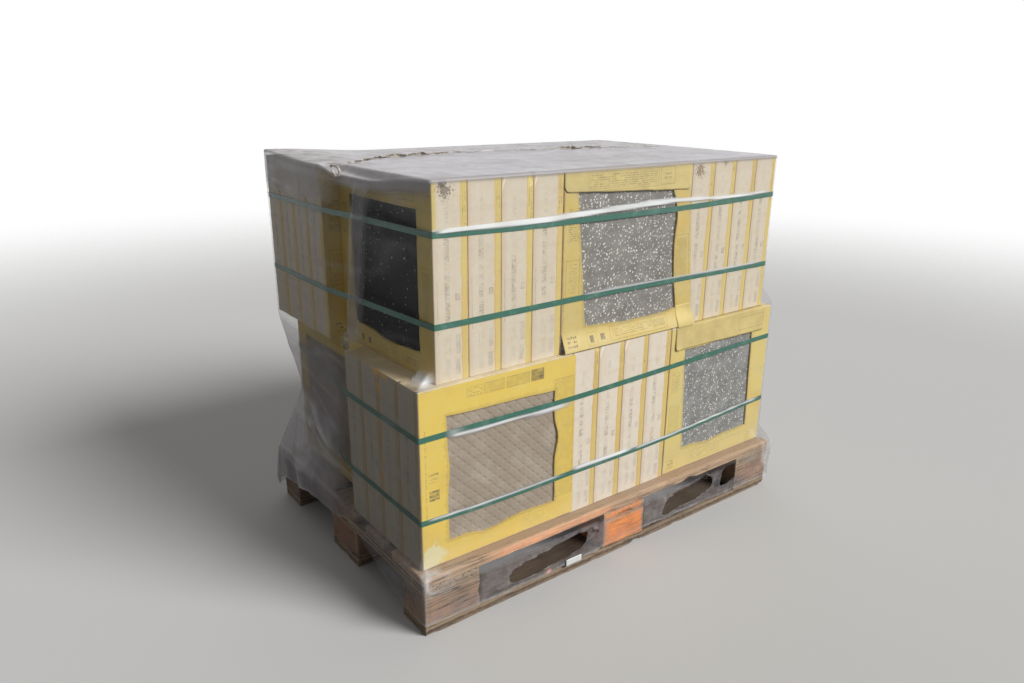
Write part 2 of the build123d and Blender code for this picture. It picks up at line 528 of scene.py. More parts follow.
class PaperFibre(Effect):
    """The soft unevenness of board and paper."""

    takes = {"Place": None}
    gives = ("Tone", "Height")

    def lay(self, sheet: NodeSheet, given: dict[str, Socket]) -> tuple[Socket, ...]:
        """Broad clouds for the tone, fine crossed noise for the height."""
        broad = sheet.noise(given["Place"], 22.0, 4.0, 0.6)
        fine = sheet.noise(given["Place"], 900.0, 2.0, 0.7)
        return sheet.math("MULTIPLY_ADD", fine, 0.25, broad), fine


class PrintBox(Effect):
    """A printed box, given by its middle and half sizes: its outline and its inside."""

    takes = {
        "Place": None, "Middle X": 0.0, "Middle Y": 0.0,
        "Half Width": 0.01, "Half Height": 0.01, "Line": 0.0008,
    }
    gives = ("Outline", "Inside")

    def lay(self, sheet: NodeSheet, given: dict[str, Socket]) -> tuple[Socket, ...]:
        """The larger of the two distances past the box's sides, compared with nought and the line's width."""
        x, y, _ = sheet.parts(given["Place"])
        past_x = sheet.minus(sheet.size_of(sheet.minus(x, given["Middle X"])), given["Half Width"])
        past_y = sheet.minus(sheet.size_of(sheet.minus(y, given["Middle Y"])), given["Half Height"])
        past = sheet.most(past_x, past_y)
        outline = sheet.math("LESS_THAN", sheet.size_of(past), given["Line"])
        return outline, sheet.math("LESS_THAN", past, 0.0)


class PrintRows(Effect):
    """Rows of short dashes that stand for small print and say nothing."""

    takes = {"Place": None, "Row": 0.006, "Dash": 0.012, "Fill": 0.7, "Seed": 0.0}

    def lay(self, sheet: NodeSheet, given: dict[str, Socket]) -> tuple[Socket, ...]:
        """Rows cut into dashes by random cells, and the dashes into strokes by finer ones."""
        x, y, _ = sheet.parts(given["Place"])
        row = sheet.math("DIVIDE", y, given["Row"])
        shown = sheet.math("LESS_THAN", sheet.size_of(sheet.minus(sheet.math("FRACT", row), 0.5)), 0.27)
        for share, across, least in ((1.0, 1.0, None), (0.18, 4.0, 0.35)):
            column = sheet.math("FLOOR", sheet.math("DIVIDE", x, sheet.times(given["Dash"], share)))
            cell = sheet.join(column, sheet.math("FLOOR", sheet.times(row, across)), given["Seed"])
            chance = sheet.add("ShaderNodeTexWhiteNoise", {"Vector": cell}, noise_dimensions="3D")
            limit = least or sheet.minus(1.0, given["Fill"])
            shown = sheet.times(shown, sheet.math("GREATER_THAN", chance.outputs["Value"], limit))
        return (shown,)


class Stain(Effect):
    """A ragged stain about one place."""

    takes = {"Place": None, "Middle": None, "Radius": 0.02, "Grain": 150.0, "Spread": 1.9}

    def lay(self, sheet: NodeSheet, given: dict[str, Socket]) -> tuple[Socket, ...]:
        """The distance from the middle, made ragged by noise; a wide spread breaks it into specks."""
        away = sheet.vector("DISTANCE", given["Place"], given["Middle"])
        away = sheet.math("DIVIDE", away, given["Radius"])
        ragged = sheet.noise(given["Place"], given["Grain"], 4.0, 0.7)
        swing = sheet.times(sheet.minus(ragged, 0.5), given["Spread"])
        return (sheet.ramp(sheet.minus(swing, sheet.minus(away, 0.95)), 0.15, 0.5),)


class Finish(ABC):
    """The finish of a surface. Each makes one material, at the first call."""

    title: str

    @abstractmethod
    def dress(self, sheet: NodeSheet) -> None:
        """Lays the nodes that feed the surface's shader.

        Args:
            sheet: The material's nodes.
        """

    def material(self) -> bpy.types.Material:
        """The material, made at the first call."""
        made = bpy.data.materials.get(self.title)
        if made:
            return made
        material = bpy.data.materials.new(self.title)
        material.use_nodes = True
        self.dress(NodeSheet(material.node_tree))
        return material


@dataclass(frozen=True)
class WornTimber(Finish):
    """Old pallet timber: figure, greyed skin, dirt in the grain, paler worn edges and leftover paint."""

    title: str = "worn_timber"
    pale: Triple = (0.40, 0.28, 0.18)
    dark: Triple = (0.20, 0.135, 0.085)
    greyed: Triple = (0.20, 0.17, 0.14)
    dirt: Triple = (0.055, 0.045, 0.038)
    paint: Triple = (0.62, 0.36, 0.24)
    rubbed: Triple = (0.44, 0.34, 0.24)
    painted: float = 0.0
    paint_from: float = -9.0
    paint_to: float = 9.0
    paint_depth: float = 9.0
    paint_fade: float = 0.03
    flaking: float = 0.65
    wear: float = 0.8
    soiling: float = 0.0
    grey_share: float = 0.55
    ring_width: float = 0.006

    def dress(self, sheet: NodeSheet) -> None:
        """Lays bare wood first, then its greyed skin, paint, wear and dirt."""
        grain = sheet.attribute("grain", "Vector")
        place = sheet.object_place()
        edge = sheet.attribute("edge")
        figure = WoodFigure().use(sheet, place=grain, ring_width=self.ring_width)
        wood = sheet.tint(self.pale, self.dark, figure["Rings"], 0.75)
        wood = sheet.mix(sheet.ramp(figure["Fibres"], 0.35, 0.7, 0.0, 0.5), wood, self.dark)
        skin = sheet.patches(place, 7.0, 0.62 - self.grey_share * 0.4, 0.75)
        colour = sheet.tint(wood, self.greyed, skin, 0.8)
        flaked = sheet.patches(place, 34.0, 0.42, 0.5, seed=3.0)
        film = sheet.times(sheet.minus(1.0, sheet.times(flaked, self.flaking)), self.painted)
        worn = EdgeWear().use(sheet, place=place, edge=edge, amount=0.55)["Mask"]
        film = sheet.times(film, sheet.minus(1.0, sheet.times(worn, self.wear)))
        x, y, _ = sheet.parts(place)
        begun = sheet.ramp(x, self.paint_from - self.paint_fade, self.paint_from + self.paint_fade)
        ended = sheet.ramp(x, self.paint_to + self.paint_fade, self.paint_to - self.paint_fade)
        span = sheet.times(begun, ended)
        film = sheet.times(film, sheet.times(span, sheet.math("LESS_THAN", y, self.paint_depth)))
        colour = sheet.mix(film, colour, self.paint)
        colour = sheet.tint(colour, self.rubbed, worn, 0.5)
        soiled = sheet.patches(place, 15.0, 0.5 - self.soiling * 0.15, 0.72, seed=8.0)
        grained = sheet.times(soiled, sheet.ramp(figure["Fibres"], 0.3, 0.65, 0.35, 1.0))
        colour = sheet.tint(colour, self.dirt, grained, 0.75)
        long_noise = sheet.noise(grain, (2.4, 70.0, 70.0), 2.0)
        crack = sheet.ramp(sheet.size_of(sheet.minus(long_noise, 0.5)), 0.016, 0.004)
        crack = sheet.times(crack, sheet.patches(place, 5.0, 0.42, 0.56, seed=14.0))
        colour = sheet.tint(colour, self.dirt, crack, 0.85)
        roughness = sheet.ramp(soiled, 0.0, 1.0, 0.88, 0.66)
        relief = sheet.math("MULTIPLY_ADD", figure["Rings"], -0.35, figure["Fibres"])
        relief = sheet.math("MULTIPLY_ADD", crack, -1.4, relief)
        sheet.feed(colour, roughness, sheet.bump(relief, 0.0016, 0.8))


@dataclass(frozen=True)
class Printing:
    """One printed mark on card: its kind and its left, bottom, right and top on the flat sheet."""

    kind: Mark
    left: float
    bottom: float
    right: float
    top: float
    strength: float

    def box(self, sheet: NodeSheet, place: Socket) -> dict[str, Socket]:
        """The outline and the inside of the mark's box."""
        return PrintBox().use(
            sheet,
            place=place,
            middle_x=(self.left + self.right) / 2,
            middle_y=(self.bottom + self.top) / 2,
            half_width=(self.right - self.left) / 2,
            half_height=(self.top - self.bottom) / 2,
        )


FRAME, ROWS, SOLID, BRICKS = Mark

FACE_PRINTS = (
    Printing(FRAME, 0.070, 0.368, 0.296, 0.410, 0.35),
    Printing(ROWS, 0.074, 0.372, 0.290, 0.407, 0.45),
    Printing(FRAME, 0.303, 0.370, 0.352, 0.410, 0.45),
    Printing(BRICKS, 0.315, 0.378, 0.340, 0.403, 0.40),
    Printing(ROWS, 0.016, 0.262, 0.050, 0.336, 0.55),
    Printing(FRAME, 0.012, 0.133, 0.052, 0.217, 0.45),
    Printing(ROWS, 0.020, 0.140, 0.044, 0.210, 0.35),
    Printing(BRICKS, 0.016, 0.010, 0.046, 0.041, 0.80),
    Printing(FRAME, 0.078, 0.008, 0.108, 0.038, 0.30),
    Printing(SOLID, 0.086, 0.014, 0.098, 0.031, 0.75),
    Printing(SOLID, 0.120, 0.016, 0.134, 0.030, 0.75),
    Printing(FRAME, 0.152, 0.009, 0.350, 0.041, 0.45),
    Printing(ROWS, 0.160, 0.014, 0.300, 0.037, 0.45),
    Printing(SOLID, 0.300, 0.016, 0.342, 0.034, 0.30),
    Printing(FRAME, 0.368, 0.120, 0.408, 0.240, 0.35),
    Printing(SOLID, 0.374, 0.128, 0.402, 0.232, 0.18),
)

STRONG_PRINTS = (
    Printing(FRAME, 0.121, 0.380, 0.160, 0.402, 0.28),
    Printing(ROWS, 0.122, 0.381, 0.159, 0.401, 0.40),
    Printing(SOLID, 0.165, 0.379, 0.219, 0.403, 0.20),
    Printing(FRAME, 0.165, 0.379, 0.219, 0.403, 0.35),
    Printing(SOLID, 0.226, 0.378, 0.289, 0.403, 0.24),
    Printing(FRAME, 0.226, 0.378, 0.289, 0.403, 0.45),
    Printing(SOLID, 0.294, 0.377, 0.331, 0.405, 0.70),
    Printing(BRICKS, 0.297, 0.381, 0.328, 0.401, 0.95),
    Printing(BRICKS, 0.022, 0.206, 0.046, 0.230, 0.55),
    Printing(SOLID, 0.022, 0.163, 0.048, 0.187, 0.45),
    Printing(BRICKS, 0.022, 0.163, 0.048, 0.187, 0.90),
    Printing(ROWS, 0.0135, 0.110, 0.0165, 0.335, 0.60),
    Printing(FRAME, 0.272, 0.012, 0.336, 0.040, 0.22),
    Printing(ROWS, 0.276, 0.016, 0.332, 0.036, 0.25),
    Printing(FRAME, 0.364, 0.060, 0.412, 0.366, 0.40),
    Printing(SOLID, 0.364, 0.060, 0.412, 0.366, 0.17),
)

COOL_PRINTS = (
    Printing(FRAME, 0.070, 0.368, 0.296, 0.410, 0.30),
    Printing(ROWS, 0.074, 0.372, 0.290, 0.407, 0.40),
    Printing(ROWS, 0.014, 0.235, 0.044, 0.292, 0.40),
    Printing(FRAME, 0.012, 0.110, 0.050, 0.196, 0.35),
    Printing(SOLID, 0.014, 0.112, 0.048, 0.194, 0.12),
    Printing(BRICKS, 0.016, 0.012, 0.042, 0.036, 0.55),
    Printing(FRAME, 0.100, 0.010, 0.330, 0.040, 0.28),
    Printing(ROWS, 0.108, 0.014, 0.240, 0.036, 0.35),
)

EDGE_PRINTS = (
    Printing(SOLID, 0.0085, 0.105, 0.0095, 0.215, 0.60),
    Printing(BRICKS, 0.0240, 0.118, 0.0440, 0.315, 0.42),
    Printing(SOLID, 0.0260, 0.130, 0.0400, 0.300, 0.07),
    Printing(FRAME, 0.053, 0.174, 0.063, 0.187, 0.50),
    Printing(SOLID, 0.053, 0.174, 0.063, 0.187, 0.25),
    Printing(SOLID, 0.052, 0.058, 0.064, 0.100, 0.22),
    Printing(SOLID, 0.050, 0.012, 0.062, 0.046, 0.26),
    Printing(SOLID, 0.026, 0.014, 0.038, 0.050, 0.13),
    Printing(ROWS, 0.026, 0.060, 0.040, 0.096, 0.25),
    Printing(ROWS, 0.0705, 0.300, 0.0790, 0.402, 0.55),
    Printing(BRICKS, 0.030, 0.332, 0.046, 0.378, 0.16),
)


def print_marks(
    sheet: NodeSheet, place: Socket, seed: Socket, prints: tuple[Printing, ...], upright: bool = False
) -> Socket:
    """Lays the printed marks of a sheet of card.

    Args:
        sheet: The material's nodes.
        place: The place on the flat sheet.
        seed: A number that differs from pack to pack.
        prints: The marks.
        upright: True if the rows of dashes run up the sheet.

    Returns:
        How much ink there is, from 0 to 1.
    """
    ink: Socket | float = 0.0
    lines = place
    if upright:
        x, y, _ = sheet.parts(place)
        lines = sheet.join(y, x)
    row, dash = (0.0220, 0.0100) if upright else (0.0100, 0.0090)
    small = PrintRows().use(sheet, place=lines, row=0.0050, dash=0.014, fill=0.85, seed=seed)["Mask"]
    coarse = PrintRows().use(sheet, place=lines, row=row, dash=dash, fill=0.82, seed=seed)["Mask"]
    for mark in prints:
        box = mark.box(sheet, place)
        shown = box["Outline" if mark.kind is FRAME else "Inside"]
        if mark.kind in (ROWS, BRICKS):
            shown = sheet.times(shown, small if mark.kind is ROWS else coarse)
        ink = sheet.most(sheet.times(shown, mark.strength), ink)
    return ink


@dataclass(frozen=True)
class Spot:
    """A stain at one place of the load, with its own colour and coarseness."""

    at: Triple
    reach: float
    colour: Triple
    grain: float
    spread: float = 1.9
    strength: float = 0.8

    def mask(self, sheet: NodeSheet, world: Socket) -> Socket:
        """Where the stain lies."""
        look = {"middle": self.at, "radius": self.reach, "grain": self.grain, "spread": self.spread}
        return Stain().use(sheet, place=world, **look)["Mask"]

    def lay(self, sheet: NodeSheet, world: Socket, colour: Socket) -> Socket:
        """Lays the stain over a colour, and returns the new colour."""
        return sheet.tint(colour, self.colour, self.mask(sheet, world), self.strength)


UPPER_SPOTS = (
    Spot((-0.500, -0.352, 0.960), 0.020, (0.05, 0.042, 0.035), 300.0, 5.5, 0.75),
    Spot((-0.506, -0.352, 0.974), 0.013, (0.05, 0.04, 0.03), 160.0, 3.0, 0.75),
    Spot((0.250, -0.352, 0.958), 0.020, (0.16, 0.075, 0.045), 210.0, 4.5, 0.75),
    Spot((0.350, -0.352, 0.972), 0.012, (0.18, 0.09, 0.05), 180.0, 3.5, 0.6),
)

LEFT_WALL_SPOTS = (
    Spot((-0.584, -0.190, 0.560), 0.024, (0.85, 0.40, 0.06), 60.0, 2.2, 0.95),
    Spot((-0.584, -0.232, 0.562), 0.022, (0.80, 0.45, 0.09), 60.0, 2.2, 0.85),
    Spot((-0.584, -0.199, 0.520), 0.017, (0.66, 0.40, 0.07), 60.0, 2.6, 0.8),
    Spot((-0.584, -0.200, 0.450), 0.022, (0.56, 0.38, 0.10), 90.0, 3.2, 0.5),
)

WET_SPOT = Spot((-0.556, -0.368, 0.166), 0.052, (0.74, 0.70, 0.42), 34.0, strength=0.85)
SMEAR = Spot((-0.254, -0.409, 0.034), 0.016, (0.62, 0.22, 0.17), 110.0)


@dataclass(frozen=True)
class PrintedFace(Finish):
    """The printed frame round a pack's window: coloured paper with plain boxes and lines."""

    title: str = "printed_face"
    paper: Triple = (0.62, 0.465, 0.140)
    warm: Triple = (0.66, 0.40, 0.08)
    faded: Triple = (0.65, 0.565, 0.28)
    ink: Triple = (0.10, 0.085, 0.06)
    soil: Triple = (0.22, 0.15, 0.07)
    prints: tuple[Printing, ...] = FACE_PRINTS

    def dress(self, sheet: NodeSheet) -> None:
        """Lays the paper, its fading, the wet corner, the print and the rubbed edges."""
        world = sheet.object_place()
        seed = sheet.times(sheet.attribute("pack"), 90.0)
        paper = PaperFibre().use(sheet, place=world)
        colour = sheet.mix(sheet.ramp(paper["Tone"], 0.4, 0.9, 0.0, 0.45), self.paper, self.faded)
        colour = sheet.tint(colour, self.warm, sheet.patches(world, 9.0, 0.5, 0.75, seed=2.0), 0.4)
        colour = WET_SPOT.lay(sheet, world, colour)
        ink = print_marks(sheet, sheet.sheet_place(), seed, self.prints)
        rubbed = sheet.patches(world, 60.0, 0.35, 0.6, seed=5.0)
        ink = sheet.times(ink, sheet.ramp(rubbed, 0.0, 1.0, 0.55, 1.0))
        colour = sheet.mix(ink, colour, self.ink)
        torn = EdgeWear().use(sheet, place=world, edge=sheet.attribute("edge"), amount=0.6)["Mask"]
        colour = sheet.tint(colour, self.soil, torn, 0.22)
        roughness = sheet.ramp(paper["Tone"], 0.3, 0.9, 0.62, 0.48)
        sheet.feed(colour, roughness, sheet.bump(paper["Height"], 0.0002, 0.5))


@dataclass(frozen=True)
class Tape:
    """A narrow coloured strip on the edge of a pack, running up: its place on one side of the load."""

    way: int
    left: float
    bottom: float
    right: float
    top: float
    colour: Triple = (0.66, 0.54, 0.19)
    share: float = 1.0

    def lay(self, sheet: NodeSheet, world: Socket, colour: Socket) -> Socket:
        """Lays the strip over a colour.

        Args:
            sheet: The material's nodes.
            world: The place in the row frame.
            colour: The colour below.

        Returns:
            The new colour.
        """
        ways = sheet.parts(world)
        box = Printing(SOLID, self.left, self.bottom, self.right, self.top, self.share)
        inside = box.box(sheet, sheet.join(ways[self.way], ways[2]))["Inside"]
        return sheet.tint(colour, self.colour, inside, self.share)


@dataclass(frozen=True)
class PackEdge(Finish):
    """The narrow side of a pack: cream board with a coloured stripe along its right edge and faint print."""

    title: str = "pack_edge"
    board: Triple = (0.67, 0.60, 0.475)
    stripe: Triple = (0.66, 0.54, 0.19)
    ochre: Triple = (0.60, 0.38, 0.15)
    rim: Triple = (0.66, 0.36, 0.10)
    ink: Triple = (0.12, 0.105, 0.085)
    thickness: float = 0.0836
    stripe_start: float = 0.0706
    stains: tuple[Tape | Spot, ...] = ()

    def dress(self, sheet: NodeSheet) -> None:
        """Lays the board, the stripe with its small ink marks, the print, and any tape and stains."""
        place = sheet.sheet_place()
        world = sheet.object_place()
        seed = sheet.times(sheet.attribute("pack"), 90.0)
        x, y, _ = sheet.parts(place)
        paper = PaperFibre().use(sheet, place=world)
        colour = sheet.mix(sheet.ramp(paper["Tone"], 0.3, 0.9, 0.0, 0.07), self.board, self.ochre)
        streaks = sheet.noise(world, (70.0, 70.0, 5.0))
        colour = sheet.mix(sheet.ramp(streaks, 0.5, 0.8, 0.0, 0.12), colour, self.ochre)
        uneven = sheet.noise(world, (8.0, 8.0, 24.0))
        border = sheet.math("MULTIPLY_ADD", uneven, 0.009, x)
        start, end = self.stripe_start, self.thickness
        stripe = sheet.ramp(border, start, start + 0.002)
        colour = sheet.mix(stripe, colour, self.stripe)
        rim = sheet.times(
            sheet.ramp(border, start, start + 0.001), sheet.ramp(border, start + 0.0034, start + 0.0022)
        )
        rim = sheet.most(rim, sheet.ramp(x, end - 0.0030, end - 0.0018))
        rim = sheet.times(rim, sheet.ramp(streaks, 0.35, 0.6, 0.15, 0.75))
        colour = sheet.mix(rim, colour, self.rim)
        ochre = sheet.times(stripe, sheet.ramp(streaks, 0.45, 0.70, 0.0, 0.35))
        colour = sheet.mix(ochre, colour, self.ochre)
        lines = sheet.join(y, x)
        dots = PrintRows().use(sheet, place=lines, row=0.0045, dash=0.006, fill=0.45, seed=seed)["Mask"]
        band = sheet.math("COMPARE", x, start + 0.011, 0.0022)
        ink = print_marks(sheet, place, seed, EDGE_PRINTS, upright=True)
        ink = sheet.most(ink, sheet.times(sheet.times(dots, band), 0.5))
        rubbed = sheet.patches(world, 40.0, 0.4, 0.6, seed=5.0)
        ink = sheet.times(ink, sheet.ramp(rubbed, 0.0, 1.0, 0.35, 1.0))
        colour = sheet.mix(ink, colour, self.ink)
        for stain in self.stains:
            colour = stain.lay(sheet, world, colour)
        rub = EdgeWear().use(sheet, place=world, edge=sheet.attribute("edge"), amount=0.5)["Mask"]
        colour = sheet.tint(colour, self.ochre, rub, 0.18)
        roughness = sheet.ramp(paper["Tone"], 0.3, 0.9, 0.66, 0.52)
        sheet.feed(colour, roughness, sheet.bump(paper["Height"], 0.0002, 0.5))


@dataclass(frozen=True)
class PlainCard(Finish):
    """Unprinted board, as on a pack's top and its hidden face."""

    title: str = "plain_card"
    board: Triple = (0.72, 0.61, 0.41)
    shade: Triple = (0.50, 0.39, 0.24)

    def dress(self, sheet: NodeSheet) -> None:
        """Lays the board with soft clouds and scuffs."""
        world = sheet.object_place()
        paper = PaperFibre().use(sheet, place=world)
        scuffs = sheet.patches(world, 26.0, 0.52, 0.7, seed=4.0)
        colour = sheet.mix(sheet.ramp(paper["Tone"], 0.4, 0.9, 0.0, 0.6), self.board, self.shade)
        colour = sheet.tint(colour, self.shade, scuffs, 0.5)
        roughness = sheet.ramp(scuffs, 0.0, 1.0, 0.7, 0.85)
        sheet.feed(colour, roughness, sheet.bump(paper["Height"], 0.0002, 0.6))


@dataclass(frozen=True)
class Terrazzo(Finish):
    """Cast stone with chips of three sizes in a plain ground."""

    title: str = "terrazzo_grey"
    ground: Triple = (0.185, 0.175, 0.155)
    cloud: Triple = (0.25, 0.24, 0.215)
    white: Triple = (0.82, 0.79, 0.72)
    dark: Triple = (0.075, 0.07, 0.065)
    tan: Triple = (0.42, 0.34, 0.24)
    chip: float = 0.0120
    share: float = 0.29
    dark_share: float = 0.27
    sizes: tuple[Pair, ...] = ((1.25, 0.62), (0.74, 1.15), (0.42, 1.5))
    roughness: float = 0.42
    shine: float = 0.5

    def dress(self, sheet: NodeSheet) -> None:
        """Lays the ground, then dark chips, then white ones from large to small."""
        sheet.surface.inputs["Specular IOR Level"].default_value = self.shine
        world = sheet.object_place()
        cloud = sheet.patches(world, 28.0, 0.35, 0.65)
        colour = sheet.mix(cloud, self.ground, self.cloud)
        beside = sheet.vector("ADD", world, (0.3, 0.1, 0.2))
        shadow = Chips().use(sheet, place=beside, size=self.chip, share=self.dark_share)["Mask"]
        colour = sheet.tint(colour, self.dark, shadow, 0.7)
        for size, share in self.sizes:
            chips = Chips().use(sheet, place=world, size=self.chip * size, share=self.share * share)
            tone = sheet.ramp(chips["Tone"], 0.1, 1.0, 0.15, 1.0)
            chip = sheet.mix(sheet.ramp(chips["Tone"], 0.3, 0.5), self.tan, self.white)
            colour = sheet.mix(sheet.times(chips["Mask"], tone), colour, chip)
        roughness = sheet.ramp(cloud, 0.0, 1.0, self.roughness, self.roughness + 0.14)
        sheet.feed(colour, roughness, sheet.bump(sheet.noise(world, 700.0), 0.0003, 0.4))


@dataclass(frozen=True)
class QuiltedStone(Finish):
    """Plain stone with a soft mottle, for the relief tile and its neighbours."""

    title: str = "quilted_stone"
    body: Triple = (0.33, 0.27, 0.205)
    pale: Triple = (0.41, 0.345, 0.27)
    deep: Triple = (0.21, 0.165, 0.12)

    def dress(self, sheet: NodeSheet) -> None:
        """Lays the body, pale dust, and painted shade in the low places of the relief."""
        world = sheet.object_place()
        dust = sheet.patches(world, 17.0, 0.4, 0.7)
        fine = sheet.noise(world, 380.0, 4.0, 0.7)
        low = sheet.attribute("hollow")
        colour = sheet.mix(dust, self.body, self.pale)
        # Painted shade: the relief's grooves are darkened by the mesh's hollow mark.
        colour = sheet.tint(colour, self.deep, low, 0.45)
        colour = sheet.mix(sheet.ramp(fine, 0.5, 0.75, 0.0, 0.35), colour, self.deep)
        sheet.feed(colour, sheet.ramp(fine, 0.3, 0.7, 0.5, 0.62), sheet.bump(fine, 0.0004, 0.5))


@dataclass(frozen=True)
class Strapping(Finish):
    """Green polyester strapping with its embossed grid."""

    title: str = "strapping"
    body: Triple = (0.042, 0.160, 0.112)
    rubbed: Triple = (0.17, 0.31, 0.25)
    pitch: float = 0.0024

    def dress(self, sheet: NodeSheet) -> None:
        """Lays the colour, the rubbed high places and the embossing."""
        world = sheet.object_place()
        x, y, z = sheet.parts(world)
        along = sheet.math("ADD", x, y)
        turn = 2 * math.pi / self.pitch
        first = sheet.math("SINE", sheet.times(sheet.math("ADD", along, z), turn))
        second = sheet.math("SINE", sheet.times(sheet.minus(along, z), turn))
        emboss = sheet.times(first, second)
        scuffs = sheet.patches(world, 30.0, 0.5, 0.68)
        raised = sheet.times(scuffs, sheet.ramp(emboss, -0.2, 0.8, 0.4, 1.0))
        colour = sheet.tint(self.body, self.rubbed, raised, 0.55)
        sheet.feed(colour, sheet.ramp(scuffs, 0.0, 1.0, 0.3, 0.5), sheet.bump(emboss, 0.0002, 0.5))


@dataclass(frozen=True)
class ShrinkFilm(Finish):
    """Clear shrink film: milky where the mesh says so, dusty, with painted highlights along creases and
    beside the straps, painted shade where it spans the fork openings, and fine wrinkles.
    """

    title: str = "shrink_film"
    milk: Triple = (0.435, 0.415, 0.438)
    # The white of the painted highlights along creases and beside the straps.
    highlight_white: Triple = (0.92, 0.94, 0.93)
    # The colour of the dust, and of the painted shade over the fork openings.
    dust: Triple = (0.17, 0.142, 0.118)
    scribble: Triple = (0.16, 0.15, 0.16)
    least: float = 0.02

    def dress(self, sheet: NodeSheet) -> None:
        """Lays the milk, the painted highlights on creases and streaks, the dust with the painted shade, and
        scribbles, and from them the colour and the alpha.
        """
        world = sheet.object_place()
        names = ("haze", "streak_highlight", "crease", "dust_and_shade")
        haze, streak_highlight, crease, dust_and_shade = (sheet.attribute(name) for name in names)
        clouds = sheet.noise(world, 11.0, 5.0, 0.65)
        fine = sheet.noise(world, (26.0, 26.0, 40.0), 6.0, 0.72)
        milky = sheet.times(haze, sheet.ramp(clouds, 0.25, 0.75, 0.86, 1.12))
        milky = sheet.times(milky, sheet.ramp(fine, 0.3, 0.7, 0.95, 1.05))
        # Painted highlights along creases: more alpha here, and a whiter colour further down.
        lines = sheet.times(crease, 0.26)
        specks = sheet.patches(world, 120.0, 0.64, 0.74, seed=1.0)
        # Dust, and the painted shade over the fork openings.
        soiled = sheet.times(dust_and_shade, sheet.ramp(fine, 0.35, 0.65, 0.3, 1.0))
        drawn = self._scribbles(sheet, world, haze)
        alpha = sheet.math("ADD", sheet.math("ADD", milky, lines), self.least)
        alpha = sheet.math("ADD", alpha, sheet.times(specks, 0.05))
        alpha = sheet.most(alpha, sheet.times(soiled, 0.85))
        # Painted highlights: the film turns nearly opaque and white along its highlight lines, for light
        # caught beside the straps, on crumples and along the hem.
        alpha = sheet.math("MAXIMUM", alpha, sheet.times(streak_highlight, 0.95), clamp=True)
        colour = sheet.mix(sheet.math("MULTIPLY", lines, 1.6, clamp=True), self.milk, self.highlight_white)
        colour = sheet.tint(colour, self.scribble, drawn, 0.45)
        colour = sheet.tint(colour, self.dust, soiled, 0.9)
        smear = SMEAR.mask(sheet, world)
        colour = sheet.mix(streak_highlight, sheet.tint(colour, SMEAR.colour, smear, 0.8), self.highlight_white)
        sheet.put(sheet.surface.inputs["Alpha"], sheet.most(alpha, sheet.times(smear, 0.8)))
        sheet.surface.inputs["IOR"].default_value = 1.5
        sheet.surface.inputs["Specular IOR Level"].default_value = 0.35
        roughness = sheet.ramp(fine, 0.3, 0.75, 0.28, 0.50)
        wrinkles = sheet.noise(world, (90.0, 90.0, 55.0), 4.0, 0.6)
        sheet.feed(colour, roughness, sheet.bump(wrinkles, 0.0009, 0.45))

    @staticmethod
    def _scribbles(sheet: NodeSheet, world: Socket, haze: Socket) -> Socket:
        """Thin dark wandering lines in the dust where the film is milky."""
        bent = sheet.noise(world, (3.2, 7.0, 5.0), 3.0, 0.6)
        line = sheet.size_of(sheet.minus(bent, 0.5))
        patches = sheet.patches(world, 5.0, 0.53, 0.62, seed=6.0)
        thin = sheet.ramp(line, 0.009, 0.002)
        return sheet.times(sheet.times(thin, patches), sheet.ramp(haze, 0.5, 0.75))


@dataclass(frozen=True)
class SeamFilm(Finish):
    """The welded and crumbled edge of the film: cream plastic, burnt and dirty in places."""

    title: str = "seam_film"
    cream: Triple = (0.60, 0.54, 0.42)
    burnt: Triple = (0.17, 0.105, 0.05)
    pale: Triple = (0.72, 0.70, 0.68)

    def dress(self, sheet: NodeSheet) -> None:
        """Lays the cream, pale clean stretches and burnt crumbs."""
        dust_and_shade = sheet.attribute("dust_and_shade")
        crumbs = sheet.noise(sheet.object_place(), 95.0, 5.0, 0.7)
        burnt = sheet.times(dust_and_shade, sheet.ramp(crumbs, 0.42, 0.58))
        colour = sheet.mix(burnt, sheet.mix(dust_and_shade, self.pale, self.cream), self.burnt)
        sheet.put(sheet.surface.inputs["Alpha"], sheet.ramp(dust_and_shade, 0.0, 0.6, 0.5, 0.95))
        sheet.feed(colour, sheet.ramp(crumbs, 0.3, 0.7, 0.35, 0.6), sheet.bump(crumbs, 0.002, 0.7))


@dataclass(frozen=True)
class PlainPaper(Finish):
    """Loose or glued paper: flaps and the small label."""

    title: str
    paper: Triple
    ink: Triple = (0.16, 0.13, 0.08)
    prints: tuple[Printing, ...] = ()

    def dress(self, sheet: NodeSheet) -> None:
        """Lays the paper and its few marks."""
        paper = PaperFibre().use(sheet, place=sheet.object_place())
        shade = tuple(0.8 * part for part in self.paper)
        colour = sheet.mix(sheet.ramp(paper["Tone"], 0.35, 0.9), self.paper, shade)
        if self.prints:
            marks = print_marks(sheet, sheet.sheet_place(), sheet.attribute("pack"), self.prints)
            colour = sheet.mix(marks, colour, self.ink)
        roughness = sheet.ramp(paper["Tone"], 0.3, 0.9, 0.6, 0.5)
        sheet.feed(colour, roughness, sheet.bump(paper["Height"], 0.0002, 0.5))


@dataclass(frozen=True)
class NailSteel(Finish):
    """Rusty nail heads."""

    title: str = "nail_steel"
    steel: Triple = (0.16, 0.15, 0.14)
    rust: Triple = (0.19, 0.075, 0.03)

    def dress(self, sheet: NodeSheet) -> None:
        """Lays dull steel under rust."""
        rust = sheet.patches(sheet.object_place(), 160.0, 0.35, 0.6)
        colour = sheet.mix(rust, self.steel, self.rust)
        sheet.put(sheet.surface.inputs["Metallic"], sheet.ramp(rust, 0.0, 1.0, 0.9, 0.1))
        sheet.feed(colour, sheet.ramp(rust, 0.0, 1.0, 0.45, 0.85), sheet.bump(rust, 0.0003, 0.6))


